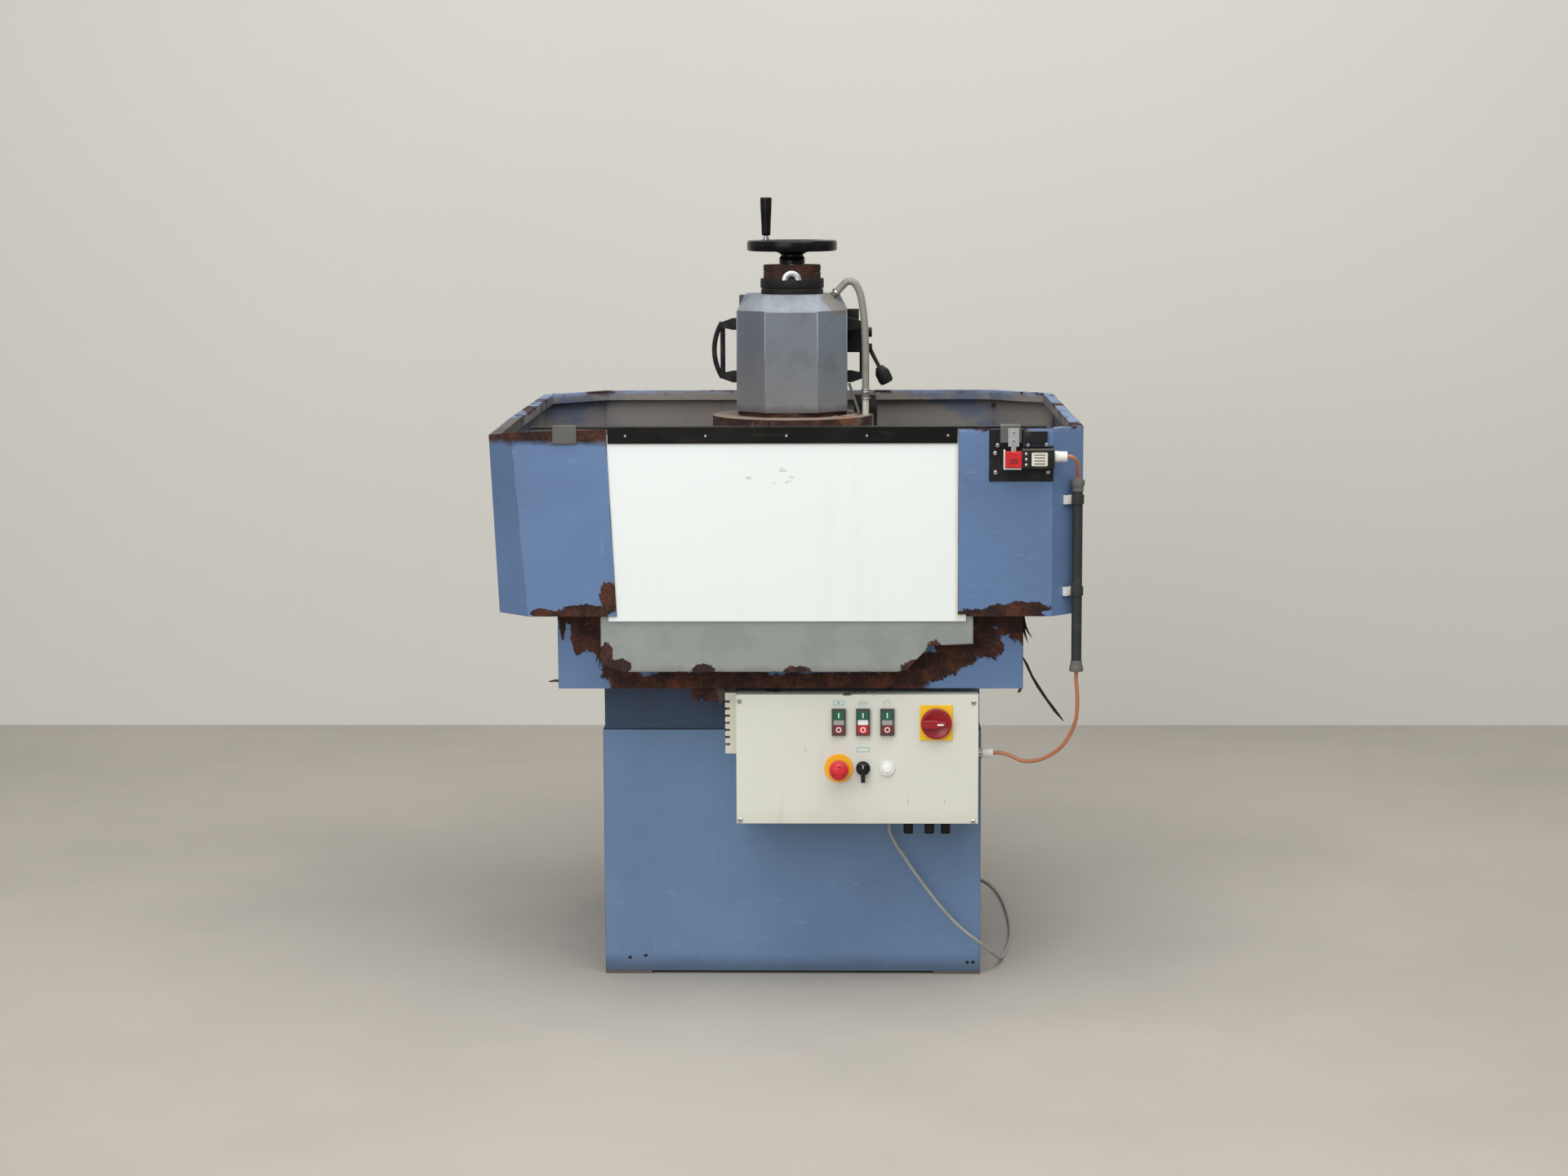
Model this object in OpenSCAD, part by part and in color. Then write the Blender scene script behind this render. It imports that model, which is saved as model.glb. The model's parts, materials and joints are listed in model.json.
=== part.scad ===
// Floor-standing wet trim grinder: a rotary table in a splash hood, under a swinging spindle head.
// Frame: X to the operator's right, Y away from the operator, Z up, origin on the floor at the
// centre of the four anchor holes.

/* [Pedestal] */
// Width and depth of the pedestal cabinet
ped_w = 800; // [760:10:1000]
// Height of the top frame's upper face above the floor
ped_h = 640; // [560:10:760]
// Height of the welded top frame
frame_h = 110; // [80:5:130]
// Thickness of the cabinet's sheet
ped_sheet = 3; // [2:0.5:5]
// Thickness of the four foot plates
foot_t = 6; // [5:1:12]
// Side of a foot plate
foot_w = 100; // [80:5:120]
// Distance between anchor holes, both ways
anchor_pitch = 700; // [680:10:710]
// Radius of an anchor hole
anchor_r = 7; // [5:0.5:9]

/* [Drip pan] */
// Width of the drip pan
pan_w = 960; // [900:10:1100]
// How far the pan reaches in front of the origin
pan_front = 535; // [500:5:560]
// Depth of the pan, front to back
pan_d = 1045; // [1000:5:1060]
// Height of the pan
pan_h = 159; // [120:1:180]
// Thickness of the pan and hood sheet
sheet = 3; // [2:0.5:4]

/* [Splash hood] */
// Width of the hood
hood_w = 1200; // [1000:10:1450]
// How far the hood reaches in front of the origin
hood_front = 595; // [580:1:640]
// Depth of the hood, front to back
hood_d = 1170; // [1150:10:1300]
// Height of the hood wall
hood_h = 383; // [330:1:385]
// Front corner chamfer of the hood
front_cham = 66; // [40:2:80]
// Rear corner chamfer of the hood
rear_cham = 134; // [80:2:180]
// Width of the rim flange, and depth of its turned-down lip
rim_w = 22; // [15:1:30]
// Left edge of the door opening
open_left = 353; // [330:1:370]
// Right edge of the door opening
open_right = 343; // [330:1:370]
// How far the dented left wing leans out at its top
wing_lean = 20; // [0:1:25]
// How far the rim of the left wing sags at the outer corner
wing_sag = 16; // [0:1:20]

/* [Sliding door] */
// Thickness of the door panel
door_t = 3; // [2:0.5:4]
// How far the door laps behind each wing
door_lap = 17; // [12:1:22]
// Running gap around the door in its guides
door_gap = 1; // [0.5:0.25:2]
// Height of the angle's front leg
angle_h = 30; // [25:1:40]
// Depth of the angle's top flange
angle_d = 34; // [30:1:36]

/* [Control box] */
// Width of the control box
box_w = 500; // [480:10:560]
// Height of the control box
box_h = 271; // [260:1:300]
// Depth of the control box
box_d = 150; // [120:5:180]
// Left edge of the box from the centre line
box_left = -112; // [-130:1:-90]
// Underside of the box above the floor
box_z = 359; // [340:1:370]
// Wall of the box and its lid
box_wall = 3; // [2:0.5:4]
// Depth of the lid
lid_d = 22; // [16:1:30]

/* [Push buttons] */
// Width of a double push button
button_w = 29; // [27:1:32]
// Height of a double push button
button_h = 56; // [52:1:60]
// Radius of the hole that takes a button
button_hole_r = 11.25; // [10:0.25:12]
// Gap round a push cap in its bezel
cap_gap = 0.4; // [0.2:0.1:0.8]
// Travel of a push cap
cap_travel = 3; // [2:0.5:3.5]
// Radius of the emergency stop's mushroom
mushroom_r = 20; // [16:0.5:24]
// Radius of the main switch knob
main_knob_r = 32; // [26:0.5:33]

/* [Column and head] */
// Distance from the column's axis to the spindle's axis
reach = 280; // [280:5:340]
// Radius of the column
column_r = 70; // [55:1:72]
// Running clearance of the arm on the column, on the radius
swing_fit = 0.05; // [0.02:0.01:0.1]
// Width of the octagonal head across its flats
head_w = 245; // [230:1:295]
// Corner chamfer of the head
head_cham = 65; // [55:1:72]
// Underside of the head above the floor
head_z = 1174; // [1165:1:1200]
// Height of the head's upright walls
head_wall_h = 222; // [200:1:240]
// Height of the sloped roof
roof_h = 36; // [20:1:50]
// Width of the flat top across its flats
roof_flat = 168; // [150:1:180]
// Radius of the quill
quill_r = 72; // [60:1:72]
// Running clearance of the quill, on the radius
quill_fit = 0.05; // [0.02:0.01:0.1]
// Radius of the spindle shaft
spindle_r = 20; // [14:1:24]

/* [Guard and cup wheel] */
// Radius of the wheel guard
guard_r = 178; // [170:1:190]
// Height of the wheel guard
guard_h = 59; // [45:1:70]
// Radius of the cup wheel
wheel_r = 150; // [120:1:155]
// Height of the cup wheel
cup_h = 40; // [30:1:42]

/* [Handwheel] */
// Radius of the handwheel
hand_r = 100; // [80:1:125]
// Height of the handwheel's rim
hand_h = 24; // [18:1:28]
// Length of the turning grip
grip_l = 85; // [60:1:100]
// Largest radius of the grip
grip_r = 13; // [11:0.5:14]
// Radius of the lower black collar
collar_r = 70.5; // [60:0.5:72]
// Radius of the rusted upper collar
cap_r = 63.5; // [55:0.5:66]

/* [Rotary table] */
// Radius of the rotary table
table_r = 280; // [200:5:285]
// Height of the table's top face
table_z = 930; // [880:5:960]
// Distance of the table's axis in front of the origin
table_front = 150; // [140:5:160]
// Radius of the table shaft
table_shaft_r = 30; // [22:1:34]
// Running clearance of the table shaft, on the radius
table_fit = 0.05; // [0.02:0.01:0.1]
// Radius of the table's belt pulley
table_pulley_r = 90; // [70:1:100]
// Radius of the motor's belt pulley
motor_pulley_r = 45; // [35:1:55]
// Distance between the two pulleys
belt_centres = 230; // [210:5:250]

/* [Hidden] */
$fn = 64;
eps = 0.01;

// Levels of the stack, from the floor up
ped_front = ped_w / 2;
cabinet_top = ped_h - frame_h;
pan_top = ped_h + pan_h;
hood_top = pan_top + hood_h;
hood_back = hood_d - hood_front;
fold = hood_w / 2 - front_cham;
corner_y = -hood_front + front_cham;
wing_in = -hood_front + sheet;
deck_t = 12;

// Places of the control box and what is on its lid
box_x1 = box_left + box_w;
box_top = box_z + box_h;
box_y0 = -ped_front - box_d;
lid_gap = 1;
button_x = [212, 262, 312];
button_z = 214;
lower_z = 117;
estop_x = 212;
selector_x = 262;
white_x = 312;
main_x = 413;
main_z = 212;

// Places of the column, the head and the table
spindle_x = -5;
spindle_y = 50;
column_y = spindle_y + reach;
head_r = head_w / 2;
head_roof_z = head_z + head_wall_h;
head_top = head_roof_z + roof_h;
guard_top = head_z - 10;
collar_h = 34;
cap_h = 30;
hub_z = head_top + collar_h + cap_h + 2;
wheel_z = hub_z + 28;
arm_gap = 16;
arm_z = head_z + arm_gap;
arm_h = head_top - 7 - arm_z;
pan_floor = ped_h + sheet;
column_top = head_top - 17;
quill_z0 = head_z + 16;
quill_l = 196;
lever_p = [spindle_x + head_r + 48.5, spindle_y + 41, head_z + 136];
lever_pin_r = 3;
grip_x = spindle_x - 0.59 * hand_r;
grip_y = spindle_y + 0.56 * hand_r;
grip_z = wheel_z + hand_h + 9;
pulley_z = cabinet_top - 60;
pulley_h = 40;
motor_x = belt_centres;

// Free cords: centre lines from one fixing to the other
pump_lead_d = 7;
pump_lead_route = [
    [206, -430, 336], [206, -430, 327], [206, -430, 318], [219, -431, 290], [236, -432, 265],
    [252, -432, 240], [285, -430, 193], [322, -428, 145], [360, -425, 105], [400, -418, 72],
    [428, -380, 40], [446, -320, 14], [456, -255, 4], [468, -190, 4], [479, -98, 4],
    [484, 0, 4], [485, 100, 4], [481, 230, 4], [471, 345, 4], [450, 445, 4], [410, 510, 4],
    [352, 535, 6], [298, 522, 24], [260, 486, 54], [243, 457, 68], [240, 440, 70],
    [240, 432, 70], [240, 425, 70]
];
box_cable_d = 8;
box_cable_route = [
    [587, -564, 681], [587, -564, 672], [587, -564, 663], [590, -563, 620], [586, -556, 572],
    [562, -541, 522], [523, -518, 490], [485, -498, 481], [455, -485, 491], [437, -480, 495],
    [429, -480, 495], [421, -480, 495]
];
switch_cable_route = [
    [561, -616, 1127], [565, -616, 1127], [569, -616, 1127], [577, -611, 1122],
    [583, -598, 1111], [586, -580, 1097], [587, -567, 1086], [587, -564, 1080],
    [587, -564, 1075]
];
hose_d = 16;
hose_route = [
    [95.93, 22, 1438.08], [100.03, 22, 1442.46], [104.13, 22, 1446.84], [118, 21, 1459],
    [134, 20, 1455],
    [146, 20, 1432], [152, 20, 1400], [156, 20, 1360], [158, 20, 1300], [158, 20, 1260],
    [158, 20, 1222]
];

// ---- helpers -------------------------------------------------------------------------------

// Block between two opposite corners
module span(a, b) {
    translate(a) cube(b - a);
}

// Cylinder that starts at p and runs along +X, +Y or +Z
module rod_x(p, r, l) { translate(p) rotate([0, 90, 0]) cylinder(r = r, h = l); }
module rod_y(p, r, l) { translate(p) rotate([-90, 0, 0]) cylinder(r = r, h = l); }
module rod_z(p, r, l) { translate(p) cylinder(r = r, h = l); }

// Round bar between two points
module bar(a, b, r) {
    d = b - a;
    len = norm(d);
    translate(a) rotate([0, acos(d.z / len), atan2(d.y, d.x)]) cylinder(r = r, h = len);
}

// Square outline with cut corners
function octagon(half, cut) = [
    [half, half - cut], [half - cut, half], [cut - half, half], [-half, half - cut],
    [-half, cut - half], [cut - half, -half], [half - cut, -half], [half, cut - half]
];

// Plan outline of the hood, moved inwards by "inset"
function hood_plan(inset) =
    let (w = hood_w / 2 - inset, f = -hood_front + inset, b = hood_back - inset,
         fc = front_cham - inset * 0.586, rc = rear_cham - inset * 0.586)
    [[w, f + fc], [w, b - rc], [w - rc, b], [rc - w, b], [-w, b - rc], [-w, f + fc],
     [fc - w, f], [w - fc, f]];

// Point between b and c on a smooth curve through a, b, c and d
function spline(a, b, c, d, t) =
    0.5 * (2 * b + (c - a) * t + (2 * a - 5 * b + 4 * c - d) * t * t
           + (3 * b - 3 * c + d - a) * t * t * t);

function smooth_path(route, steps) =
    let (n = len(route), at = function(i) route[max(0, min(n - 1, i))])
    concat([for (i = [0 : n - 2], s = [0 : steps - 1])
               spline(at(i - 1), at(i), at(i + 1), at(i + 2), s / steps)],
           [route[n - 1]]);

// Direction of a path at its point i
function heading(path, i) =
    let (d = path[min(len(path) - 1, i + 1)] - path[max(0, i - 1)]) d / norm(d);

// Sideways direction at every point, carried along the path so that the tube doesn't twist
function carried(path, i, side) =
    i == len(path) ? [] :
    let (t = heading(path, i), flat = side - (side * t) * t, u = flat / norm(flat))
    concat([u], carried(path, i + 1, u));

// Closed tube swept along a route, "sides" faces round
module cord(route, d, steps, sides = 8) {
    path = smooth_path(route, steps);
    n = len(path);
    across = carried(path, 0, abs(heading(path, 0).x) < 0.8 ? [1, 0, 0] : [0, 1, 0]);
    points = [for (i = [0 : n - 1], k = [0 : sides - 1])
        let (v = cross(heading(path, i), across[i]), a = k * 360 / sides)
        path[i] + d / 2 * (cos(a) * across[i] + sin(a) * v)];
    walls = [for (i = [0 : n - 2], k = [0 : sides - 1], half = [0, 1])
        let (m = (k + 1) % sides, a = i * sides + k, b = a + sides, c = (i + 1) * sides + m,
             e = i * sides + m)
        half == 0 ? [a, c, b] : [a, e, c]];
    first = [for (k = [sides - 1 : -1 : 0]) k];
    last = [for (k = [0 : sides - 1]) (n - 1) * sides + k];
    polyhedron(points, concat([first, last], walls), convexity = 6);
}

// ---- pedestal ------------------------------------------------------------------------------

module at_anchors() {
    for (x = [-1, 1], y = [-1, 1]) translate([x * anchor_pitch / 2, y * anchor_pitch / 2, 0])
        children();
}

module foot_plates() {
    color("dimgray") for (x = [-1, 1], y = [-1, 1]) difference() {
        translate([x * (ped_w - foot_w) / 2 - foot_w / 2, y * (ped_w - foot_w) / 2 - foot_w / 2, 0])
            cube([foot_w, foot_w, foot_t]);
        at_anchors() translate([0, 0, -1]) cylinder(r = anchor_r, h = foot_t + 2);
    }
}

module pedestal_cabinet() {
    w = ped_w / 2;
    color("steelblue") difference() {
        span([-w, -w, foot_t], [w, w, cabinet_top]);
        span([-w + ped_sheet, -w + ped_sheet, foot_t + ped_sheet],
             [w - ped_sheet, w - ped_sheet, cabinet_top + 1]);
        at_anchors() translate([0, 0, foot_t - 1]) cylinder(r = anchor_r, h = ped_sheet + 2);
        span([service_x0, w - ped_sheet - 1, service_z0], [service_x1, w + 1, service_z1]);
    }
}

// Opening in the back of the cabinet, and how far its cover laps round it
service_x0 = -ped_w / 2 + 90;
service_x1 = ped_w / 2 - 220;
service_z0 = 120;
service_z1 = cabinet_top - 60;
service_lap = 15;

module service_panel() {
    y = ped_w / 2;
    slot_l = 120;
    middle = (service_x0 + service_x1) / 2;
    color("steelblue") difference() {
        span([service_x0 - service_lap, y, service_z0 - service_lap],
             [service_x1 + service_lap, y + 2, service_z1 + service_lap]);
        for (k = [0 : 7], side = [-1, 1])
            span([middle + side * 90 - slot_l / 2, y - 1, service_z1 - 40 - k * 22],
                 [middle + side * 90 + slot_l / 2, y + 3, service_z1 - 34 - k * 22]);
    }
    color("silver")
        for (x = [service_x0 - 7, service_x1 + 7], z = [service_z0 - 7, service_z1 + 7])
            rod_y([x, y + 2, z], 5, 2.5);
}

module pedestal_top_frame() {
    w = ped_w / 2 - 4;
    rail = 60;
    color("slategray") difference() {
        span([-w, -w, cabinet_top], [w, w, ped_h]);
        span([-w + rail, -w + rail, cabinet_top - 1], [w - rail, w - rail, ped_h - deck_t]);
        rod_z([0, -table_front, ped_h - deck_t - 1], table_shaft_r + 12, deck_t + 2);
        rod_z([drain_x, drain_y, ped_h - deck_t - 1], drain_r + 6, deck_t + 2);
    }
}

// ---- drip pan and hood ---------------------------------------------------------------------

drain_x = -260;
drain_y = -270;
drain_r = 20;

module drip_pan() {
    w = pan_w / 2;
    back = pan_d - pan_front;
    color("steelblue") difference() {
        union() {
            difference() {
                span([-w, -pan_front, ped_h], [w, back, pan_top]);
                span([-w + sheet, -pan_front + sheet, pan_floor],
                     [w - sheet, back - sheet, pan_top + 1]);
            }
            rod_z([drain_x, drain_y, ped_h - 60], drain_r, 60 + eps);
        }
        rod_z([drain_x, drain_y, ped_h - 61], drain_r - 3, 62 + sheet);
        rod_z([0, -table_front, ped_h - 1], table_shaft_r + 12, sheet + 2);
    }
}

// Flat plate through three or four corners, one sheet thick to the rear
module leaning_plate(corners, back) {
    hull() for (c = corners) translate(c) span([0, 0, 0], back);
}

module hood_shell() {
    wing_edge = -(open_left + wing_lean - 1);
    fold_top = [-fold - wing_lean * 1.6, -hood_front, hood_top - wing_sag * 0.4];
    fold_low = [-fold, -hood_front, pan_top];
    out_top = [-hood_w / 2 - wing_lean * 0.85, corner_y, hood_top - wing_sag];
    out_low = [-hood_w / 2, corner_y, pan_top];
    side_y = corner_y + 240;
    color("steelblue") difference() {
        union() {
            // upright wall, floor ledge and rim flange with its lip
            translate([0, 0, pan_top]) linear_extrude(hood_h) difference() {
                polygon(hood_plan(0));
                polygon(hood_plan(sheet));
            }
            translate([0, 0, pan_top]) linear_extrude(sheet) difference() {
                polygon(hood_plan(0));
                translate([-pan_w / 2 + sheet, -pan_front + sheet])
                    square([pan_w - 2 * sheet, pan_d - 2 * sheet]);
            }
            translate([0, 0, hood_top - sheet]) linear_extrude(sheet) difference() {
                polygon(hood_plan(0));
                polygon(hood_plan(rim_w));
            }
            translate([0, 0, hood_top - rim_w]) linear_extrude(rim_w) difference() {
                polygon(hood_plan(rim_w - sheet));
                polygon(hood_plan(rim_w));
            }
        }
        // opening for the door, from the leaning left wing to the right wing
        span([-hood_w / 2 - 1, -hood_front - 1, pan_top + sheet],
             [open_right, corner_y, hood_top + 1]);
        span([-hood_w / 2 - 1, -hood_front - 1, pan_top - 1],
             [open_right + door_lap + door_gap + 4, wing_in + door_t + 2 * door_gap + 1,
              pan_top + sheet + 1]);
        span([-hood_w / 2 - 1, corner_y - 1, pan_top + sheet],
             [-hood_w / 2 + rim_w + 10, side_y, hood_top + 1]);
        // room behind the right wing for the door, its guide and the angle
        span([open_right - 1, wing_in, hood_top - rim_w - 1],
             [fold + 1, wing_in + rim_w + 14, hood_top + 1]);
    }
    color("steelblue") {
        // left wing, leaning outwards with a sagging rim
        translate([0, wing_in, 0]) rotate([90, 0, 0]) linear_extrude(sheet) polygon([
            [-open_left, pan_top], [wing_edge, hood_top], [fold_top.x, fold_top.z],
            [fold_low.x, fold_low.z]]);
        leaning_plate([fold_low, fold_top, out_top, out_low], [sheet, sheet, eps]);
        leaning_plate([out_low + [0, 0, sheet], out_top, [-hood_w / 2, side_y, hood_top]],
                      [sheet, eps, eps]);
        leaning_plate([out_low + [0, 0, sheet], [-hood_w / 2, side_y, hood_top],
                       [-hood_w / 2, side_y, pan_top + sheet]], [sheet, eps, eps]);
    }
}

module door_guides() {
    z1 = hood_top - angle_h - 8;
    front = wing_in;
    rear = front + door_t + 2 * door_gap;
    color("slategray") for (side = [-1, 1]) {
        edge = side < 0 ? open_left + door_lap : open_right + door_lap;
        mirror([side < 0 ? 1 : 0, 0, 0]) difference() {
            span([edge - 12, front, pan_top + sheet], [edge + door_gap + 3, rear + 3, z1]);
            span([edge - 13, front - 1, pan_top], [edge + door_gap, rear, z1 + 1]);
        }
    }
}

module apron_strip() {
    y = wing_in + door_t + 2 * door_gap + 1;
    t = pan_top;
    l = -open_left;
    r = open_right;
    color("silver") translate([0, y + 1.5, 0]) rotate([90, 0, 0]) linear_extrude(1.5) polygon([
        [l - 34, t], [r + 32, t], [r + 32, t - 58], [r - 13, t - 60], [r - 55, t - 62],
        [r - 81, t - 88], [r - 103, t - 112], [r - 123, t - 116], [l + 15, t - 116],
        [l - 34, t - 101]]);
}

// ---- door ----------------------------------------------------------------------------------

door_y = wing_in + door_gap;
door_z0 = pan_top - 11;

module door_panel() {
    color("white") span([-open_left - door_lap, door_y, door_z0],
                        [open_right + door_lap, door_y + door_t, hood_top - 12]);
}

angle_t = 4;
angle_x0 = -open_left - 173;
angle_x1 = open_right + 178;
screw_x = [-332, -169, -5, 158, 322];

module door_angle() {
    leg_y = door_y - angle_t;
    color("black") {
        span([angle_x0, -hood_front, hood_top + 0.4],
             [angle_x1, -hood_front + angle_d, hood_top + 0.4 + angle_t]);
        span([-open_left - wing_lean + 5, leg_y, hood_top + 0.4 - angle_h],
             [open_right - 2, door_y, hood_top + 0.4 + eps]);
    }
}

module door_brackets() {
    top = hood_top + 0.4 + angle_t;
    front = -hood_front - sheet;
    color("gray") {
        // folded hook over the left wing
        span([-open_left - 127, front - 1, top - 34], [-open_left - 77, front + 1, top + 2]);
        span([-open_left - 127, front - 1, top],
             [-open_left - 77, -hood_front + angle_d - 8, top + 2]);
        // bracket that carries the key in front of the right wing
        span([lock_x + 21, lock_y - 23, top - 31], [lock_x + 64, lock_y - 20, top + 3]);
        span([lock_x + 21, lock_y - 23, top],
             [lock_x + 64, -hood_front + angle_d - 6, top + 3]);
    }
}

module interlock_key() {
    y = lock_y - 26;
    color("silver") {
        difference() {
            span([key_x - 11, y, hood_top - 34], [key_x + 11, y + 3, hood_top + 3]);
            for (z = key_screws) rod_y([key_x, y - 1, z], 2.5, 5);
        }
        span([key_x - 5, y, hood_top - 58], [key_x + 5, y + 2, hood_top - 34 + eps]);
        for (z = key_screws) rod_y([key_x, y - 2.5, z], 4, 2.5);
    }
}

module door_screws() {
    color("silver") for (x = screw_x)
        rod_y([x, door_y - angle_t - 2, hood_top - 14], 3.5, 2);
}

// ---- interlock and its cable ---------------------------------------------------------------

lock_x = open_right + 62;
lock_y = -hood_front - sheet;
lock_z = hood_top - 59;
key_x = lock_x + 48;
key_screws = [hood_top - 6, hood_top - 23];
plate_screws = [[12, -49], [13, -88], [119, -87], [6.5, -33], [17, -33]];

module interlock_plate() {
    color("black") {
        translate([0, -hood_front, 0]) rotate([90, 0, 0]) linear_extrude(sheet) polygon([
            [lock_x, hood_top - 107], [lock_x + 130, hood_top - 107],
            [lock_x + 130, hood_top - 35], [lock_x + 69, hood_top - 35],
            [lock_x + 69, hood_top - 1], [lock_x, hood_top - 1]]);
        span([lock_x + 71, -hood_front - 9, hood_top - 32],
             [lock_x + 117, -hood_front, hood_top - 5]);
    }
}

module interlock_switch() {
    color("dimgray")
        span([lock_x + 65, lock_y - 36, lock_z - 19], [lock_x + 130, lock_y, lock_z + 19]);
    color("red") difference() {
        span([lock_x + 31, lock_y - 36, lock_z - 17], [lock_x + 64.5, lock_y, lock_z + 15]);
        span([key_x - 7, lock_y - 29, lock_z - 14], [key_x + 7, lock_y - 21, lock_z + 16]);
    }
}

module switch_cable() {
    color("peru") cord(switch_cable_route, box_cable_d, 2);
}

conduit_x = hood_w / 2 - 13;
conduit_y = corner_y - 35;
conduit_r = 10.5;

module conduit() {
    color("dimgray") difference() {
        rod_z([conduit_x, conduit_y, 703], conduit_r, 349);
        rod_z([conduit_x, conduit_y, 702], conduit_r - 2, 351);
    }
    color("gray") for (z = [681, 1052]) difference() {
        rod_z([conduit_x, conduit_y, z], conduit_r + 1.5, z < 900 ? 22 : 23);
        rod_z([conduit_x, conduit_y, z - 1], 5, 25);
    }
    color("white") for (z = [838, 1026]) translate([conduit_x, conduit_y, z]) rotate(45)
        difference() {
            union() {
                cylinder(r = conduit_r + 2.5, h = 19);
                translate([-27, 7.5, 0]) cube([30, 7.8, 19]);
            }
            translate([0, 0, -1]) cylinder(r = conduit_r + 0.3, h = 21);
        }
}

module box_cable() {
    color("dimgray") cord(box_cable_route, box_cable_d, 2);
}

// ---- control box ---------------------------------------------------------------------------

// Point on the lid's front, from the box's lower left corner
function on_lid(x, z) = [box_left + x, box_y0, box_z + z];

module box_body() {
    y0 = box_y0 + lid_d + lid_gap;
    color("beige") difference() {
        span([box_left, y0, box_z], [box_x1, -ped_front, box_top]);
        span([box_left + box_wall, y0 - 1, box_z + box_wall],
             [box_x1 - box_wall, -ped_front - box_wall, box_top - box_wall]);
    }
}

module box_lid() {
    color("beige") difference() {
        span([box_left, box_y0, box_z], [box_x1, box_y0 + lid_d, box_top]);
        span([box_left + box_wall, box_y0 + box_wall, box_z + box_wall],
             [box_x1 - box_wall, box_y0 + lid_d + 1, box_top - box_wall]);
        for (x = button_x, z = [button_z - 15, button_z + 15])
            rod_y(on_lid(x, z) - [0, 1, 0], button_hole_r, box_wall + 2);
        for (x = [estop_x, selector_x, white_x])
            rod_y(on_lid(x, lower_z) - [0, 1, 0], button_hole_r, box_wall + 2);
        rod_y(on_lid(main_x, main_z) - [0, 1, 0], button_hole_r, box_wall + 2);
    }
}

module panel_screws() {
    color("silver") {
        for (x = [9, box_w - 9], z = [10, box_h - 10]) rod_y(on_lid(x, z) - [0, 1.5, 0], 4.5, 1.5);
        for (p = plate_screws) rod_y([lock_x + p.x, lock_y - 2, hood_top + p.y], 3.5, 2);
    }
}

module cable_duct() {
    y1 = box_y0 + lid_d + lid_gap + 60;
    color("beige") difference() {
        span([box_left - 24, y1 - 50, box_top - 130], [box_left, y1, box_top - 2]);
        for (k = [0 : 6]) span([box_left - 25, y1 - 51, box_top - 113 + k * 15],
                               [box_left - 14, y1 - 6, box_top - 108 + k * 15]);
    }
}

// Cable gland: hexagon nut and domed cap, along +Z from its seat
module gland(l, r) {
    cylinder(r = r * 1.1, h = l * 0.35, $fn = 6);
    difference() {
        cylinder(r = r, h = l);
        translate([0, 0, l * 0.4]) cylinder(r = r * 0.4, h = l);
    }
}

module cable_glands() {
    color("black") {
        for (x = [357, 401, 435]) translate([box_left + x, box_y0 + 70, box_z]) rotate([180, 0, 0])
            gland(35, 10);
        translate([box_x1, box_y0 + 70, 495]) rotate([0, 90, 0]) gland(33, 10);
        translate([206, -430, box_z]) rotate([180, 0, 0]) gland(23, 7);
        translate([240, ped_front, 70]) rotate([-90, 0, 0]) gland(25, 8);
    }
    color("white") translate([lock_x + 130, lock_y - 18, lock_z + 4]) rotate([0, 90, 0]) gland(26, 10.5);
}

bezel_t = 8;
cap_w = 22;
cap_h2 = 17;
pocket = 5;

module button_bezels() {
    color("gray") {
        for (x = button_x) translate(on_lid(x, button_z)) difference() {
            span([-button_w / 2, -bezel_t, -button_h / 2], [button_w / 2, 0, button_h / 2]);
            for (z = [-15, 15]) {
                span([-cap_w / 2 - cap_gap, -bezel_t - 1, z - cap_h2 / 2 - cap_gap],
                     [cap_w / 2 + cap_gap, -bezel_t + pocket, z + cap_h2 / 2 + cap_gap]);
                rod_y([0, -bezel_t, z], 5 + cap_gap, bezel_t + 1);
            }
        }
        for (x = [selector_x, white_x]) difference() {
            rod_y(on_lid(x, lower_z) - [0, 6, 0], 14.5, 6);
            rod_y(on_lid(x, lower_z) - [0, 7, 0], 11 + cap_gap, 8);
        }
    }
}

module switch_plates() {
    color("gold") {
        difference() {
            rod_y(on_lid(estop_x, lower_z) - [0, 3, 0], 30, 3);
            rod_y(on_lid(estop_x, lower_z) - [0, 4, 0], 9.5, 5);
        }
        translate(on_lid(main_x, main_z)) difference() {
            span([-34, -3, -37], [34, 0, 37]);
            rod_y([0, -4, 0], 9.5, 5);
        }
    }
}

// Push cap with its stem, behind the bezel's face
module push_cap() {
    span([-cap_w / 2, -bezel_t - 3, -cap_h2 / 2],
         [cap_w / 2, -bezel_t + pocket - cap_travel - 0.5, cap_h2 / 2]);
    rod_y([0, -bezel_t - 2, 0], 5, 20);
}

module start_button(k) {
    color("green") translate(on_lid(button_x[k], button_z + 15)) push_cap();
}

module stop_button(k) {
    color("firebrick") translate(on_lid(button_x[k], button_z - 15)) push_cap();
}

module start_button_1() { start_button(0); }
module start_button_2() { start_button(1); }
module start_button_3() { start_button(2); }
module stop_button_1() { stop_button(0); }
module stop_button_2() { stop_button(1); }
module stop_button_3() { stop_button(2); }

module main_switch_knob() {
    color("red") translate(on_lid(main_x, main_z)) {
        rod_y([0, -18, 0], main_knob_r, 14);
        span([4 - main_knob_r, -27, -8], [main_knob_r - 4, -17, 8]);
        rod_y([0, -5, 0], 9, 20);
    }
}

module selector_knob() {
    color("black") translate(on_lid(selector_x, lower_z)) {
        rod_y([0, -14, 0], 11, 20);
        span([-4.5, -22, -27], [4.5, -13, 9]);
    }
}

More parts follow.
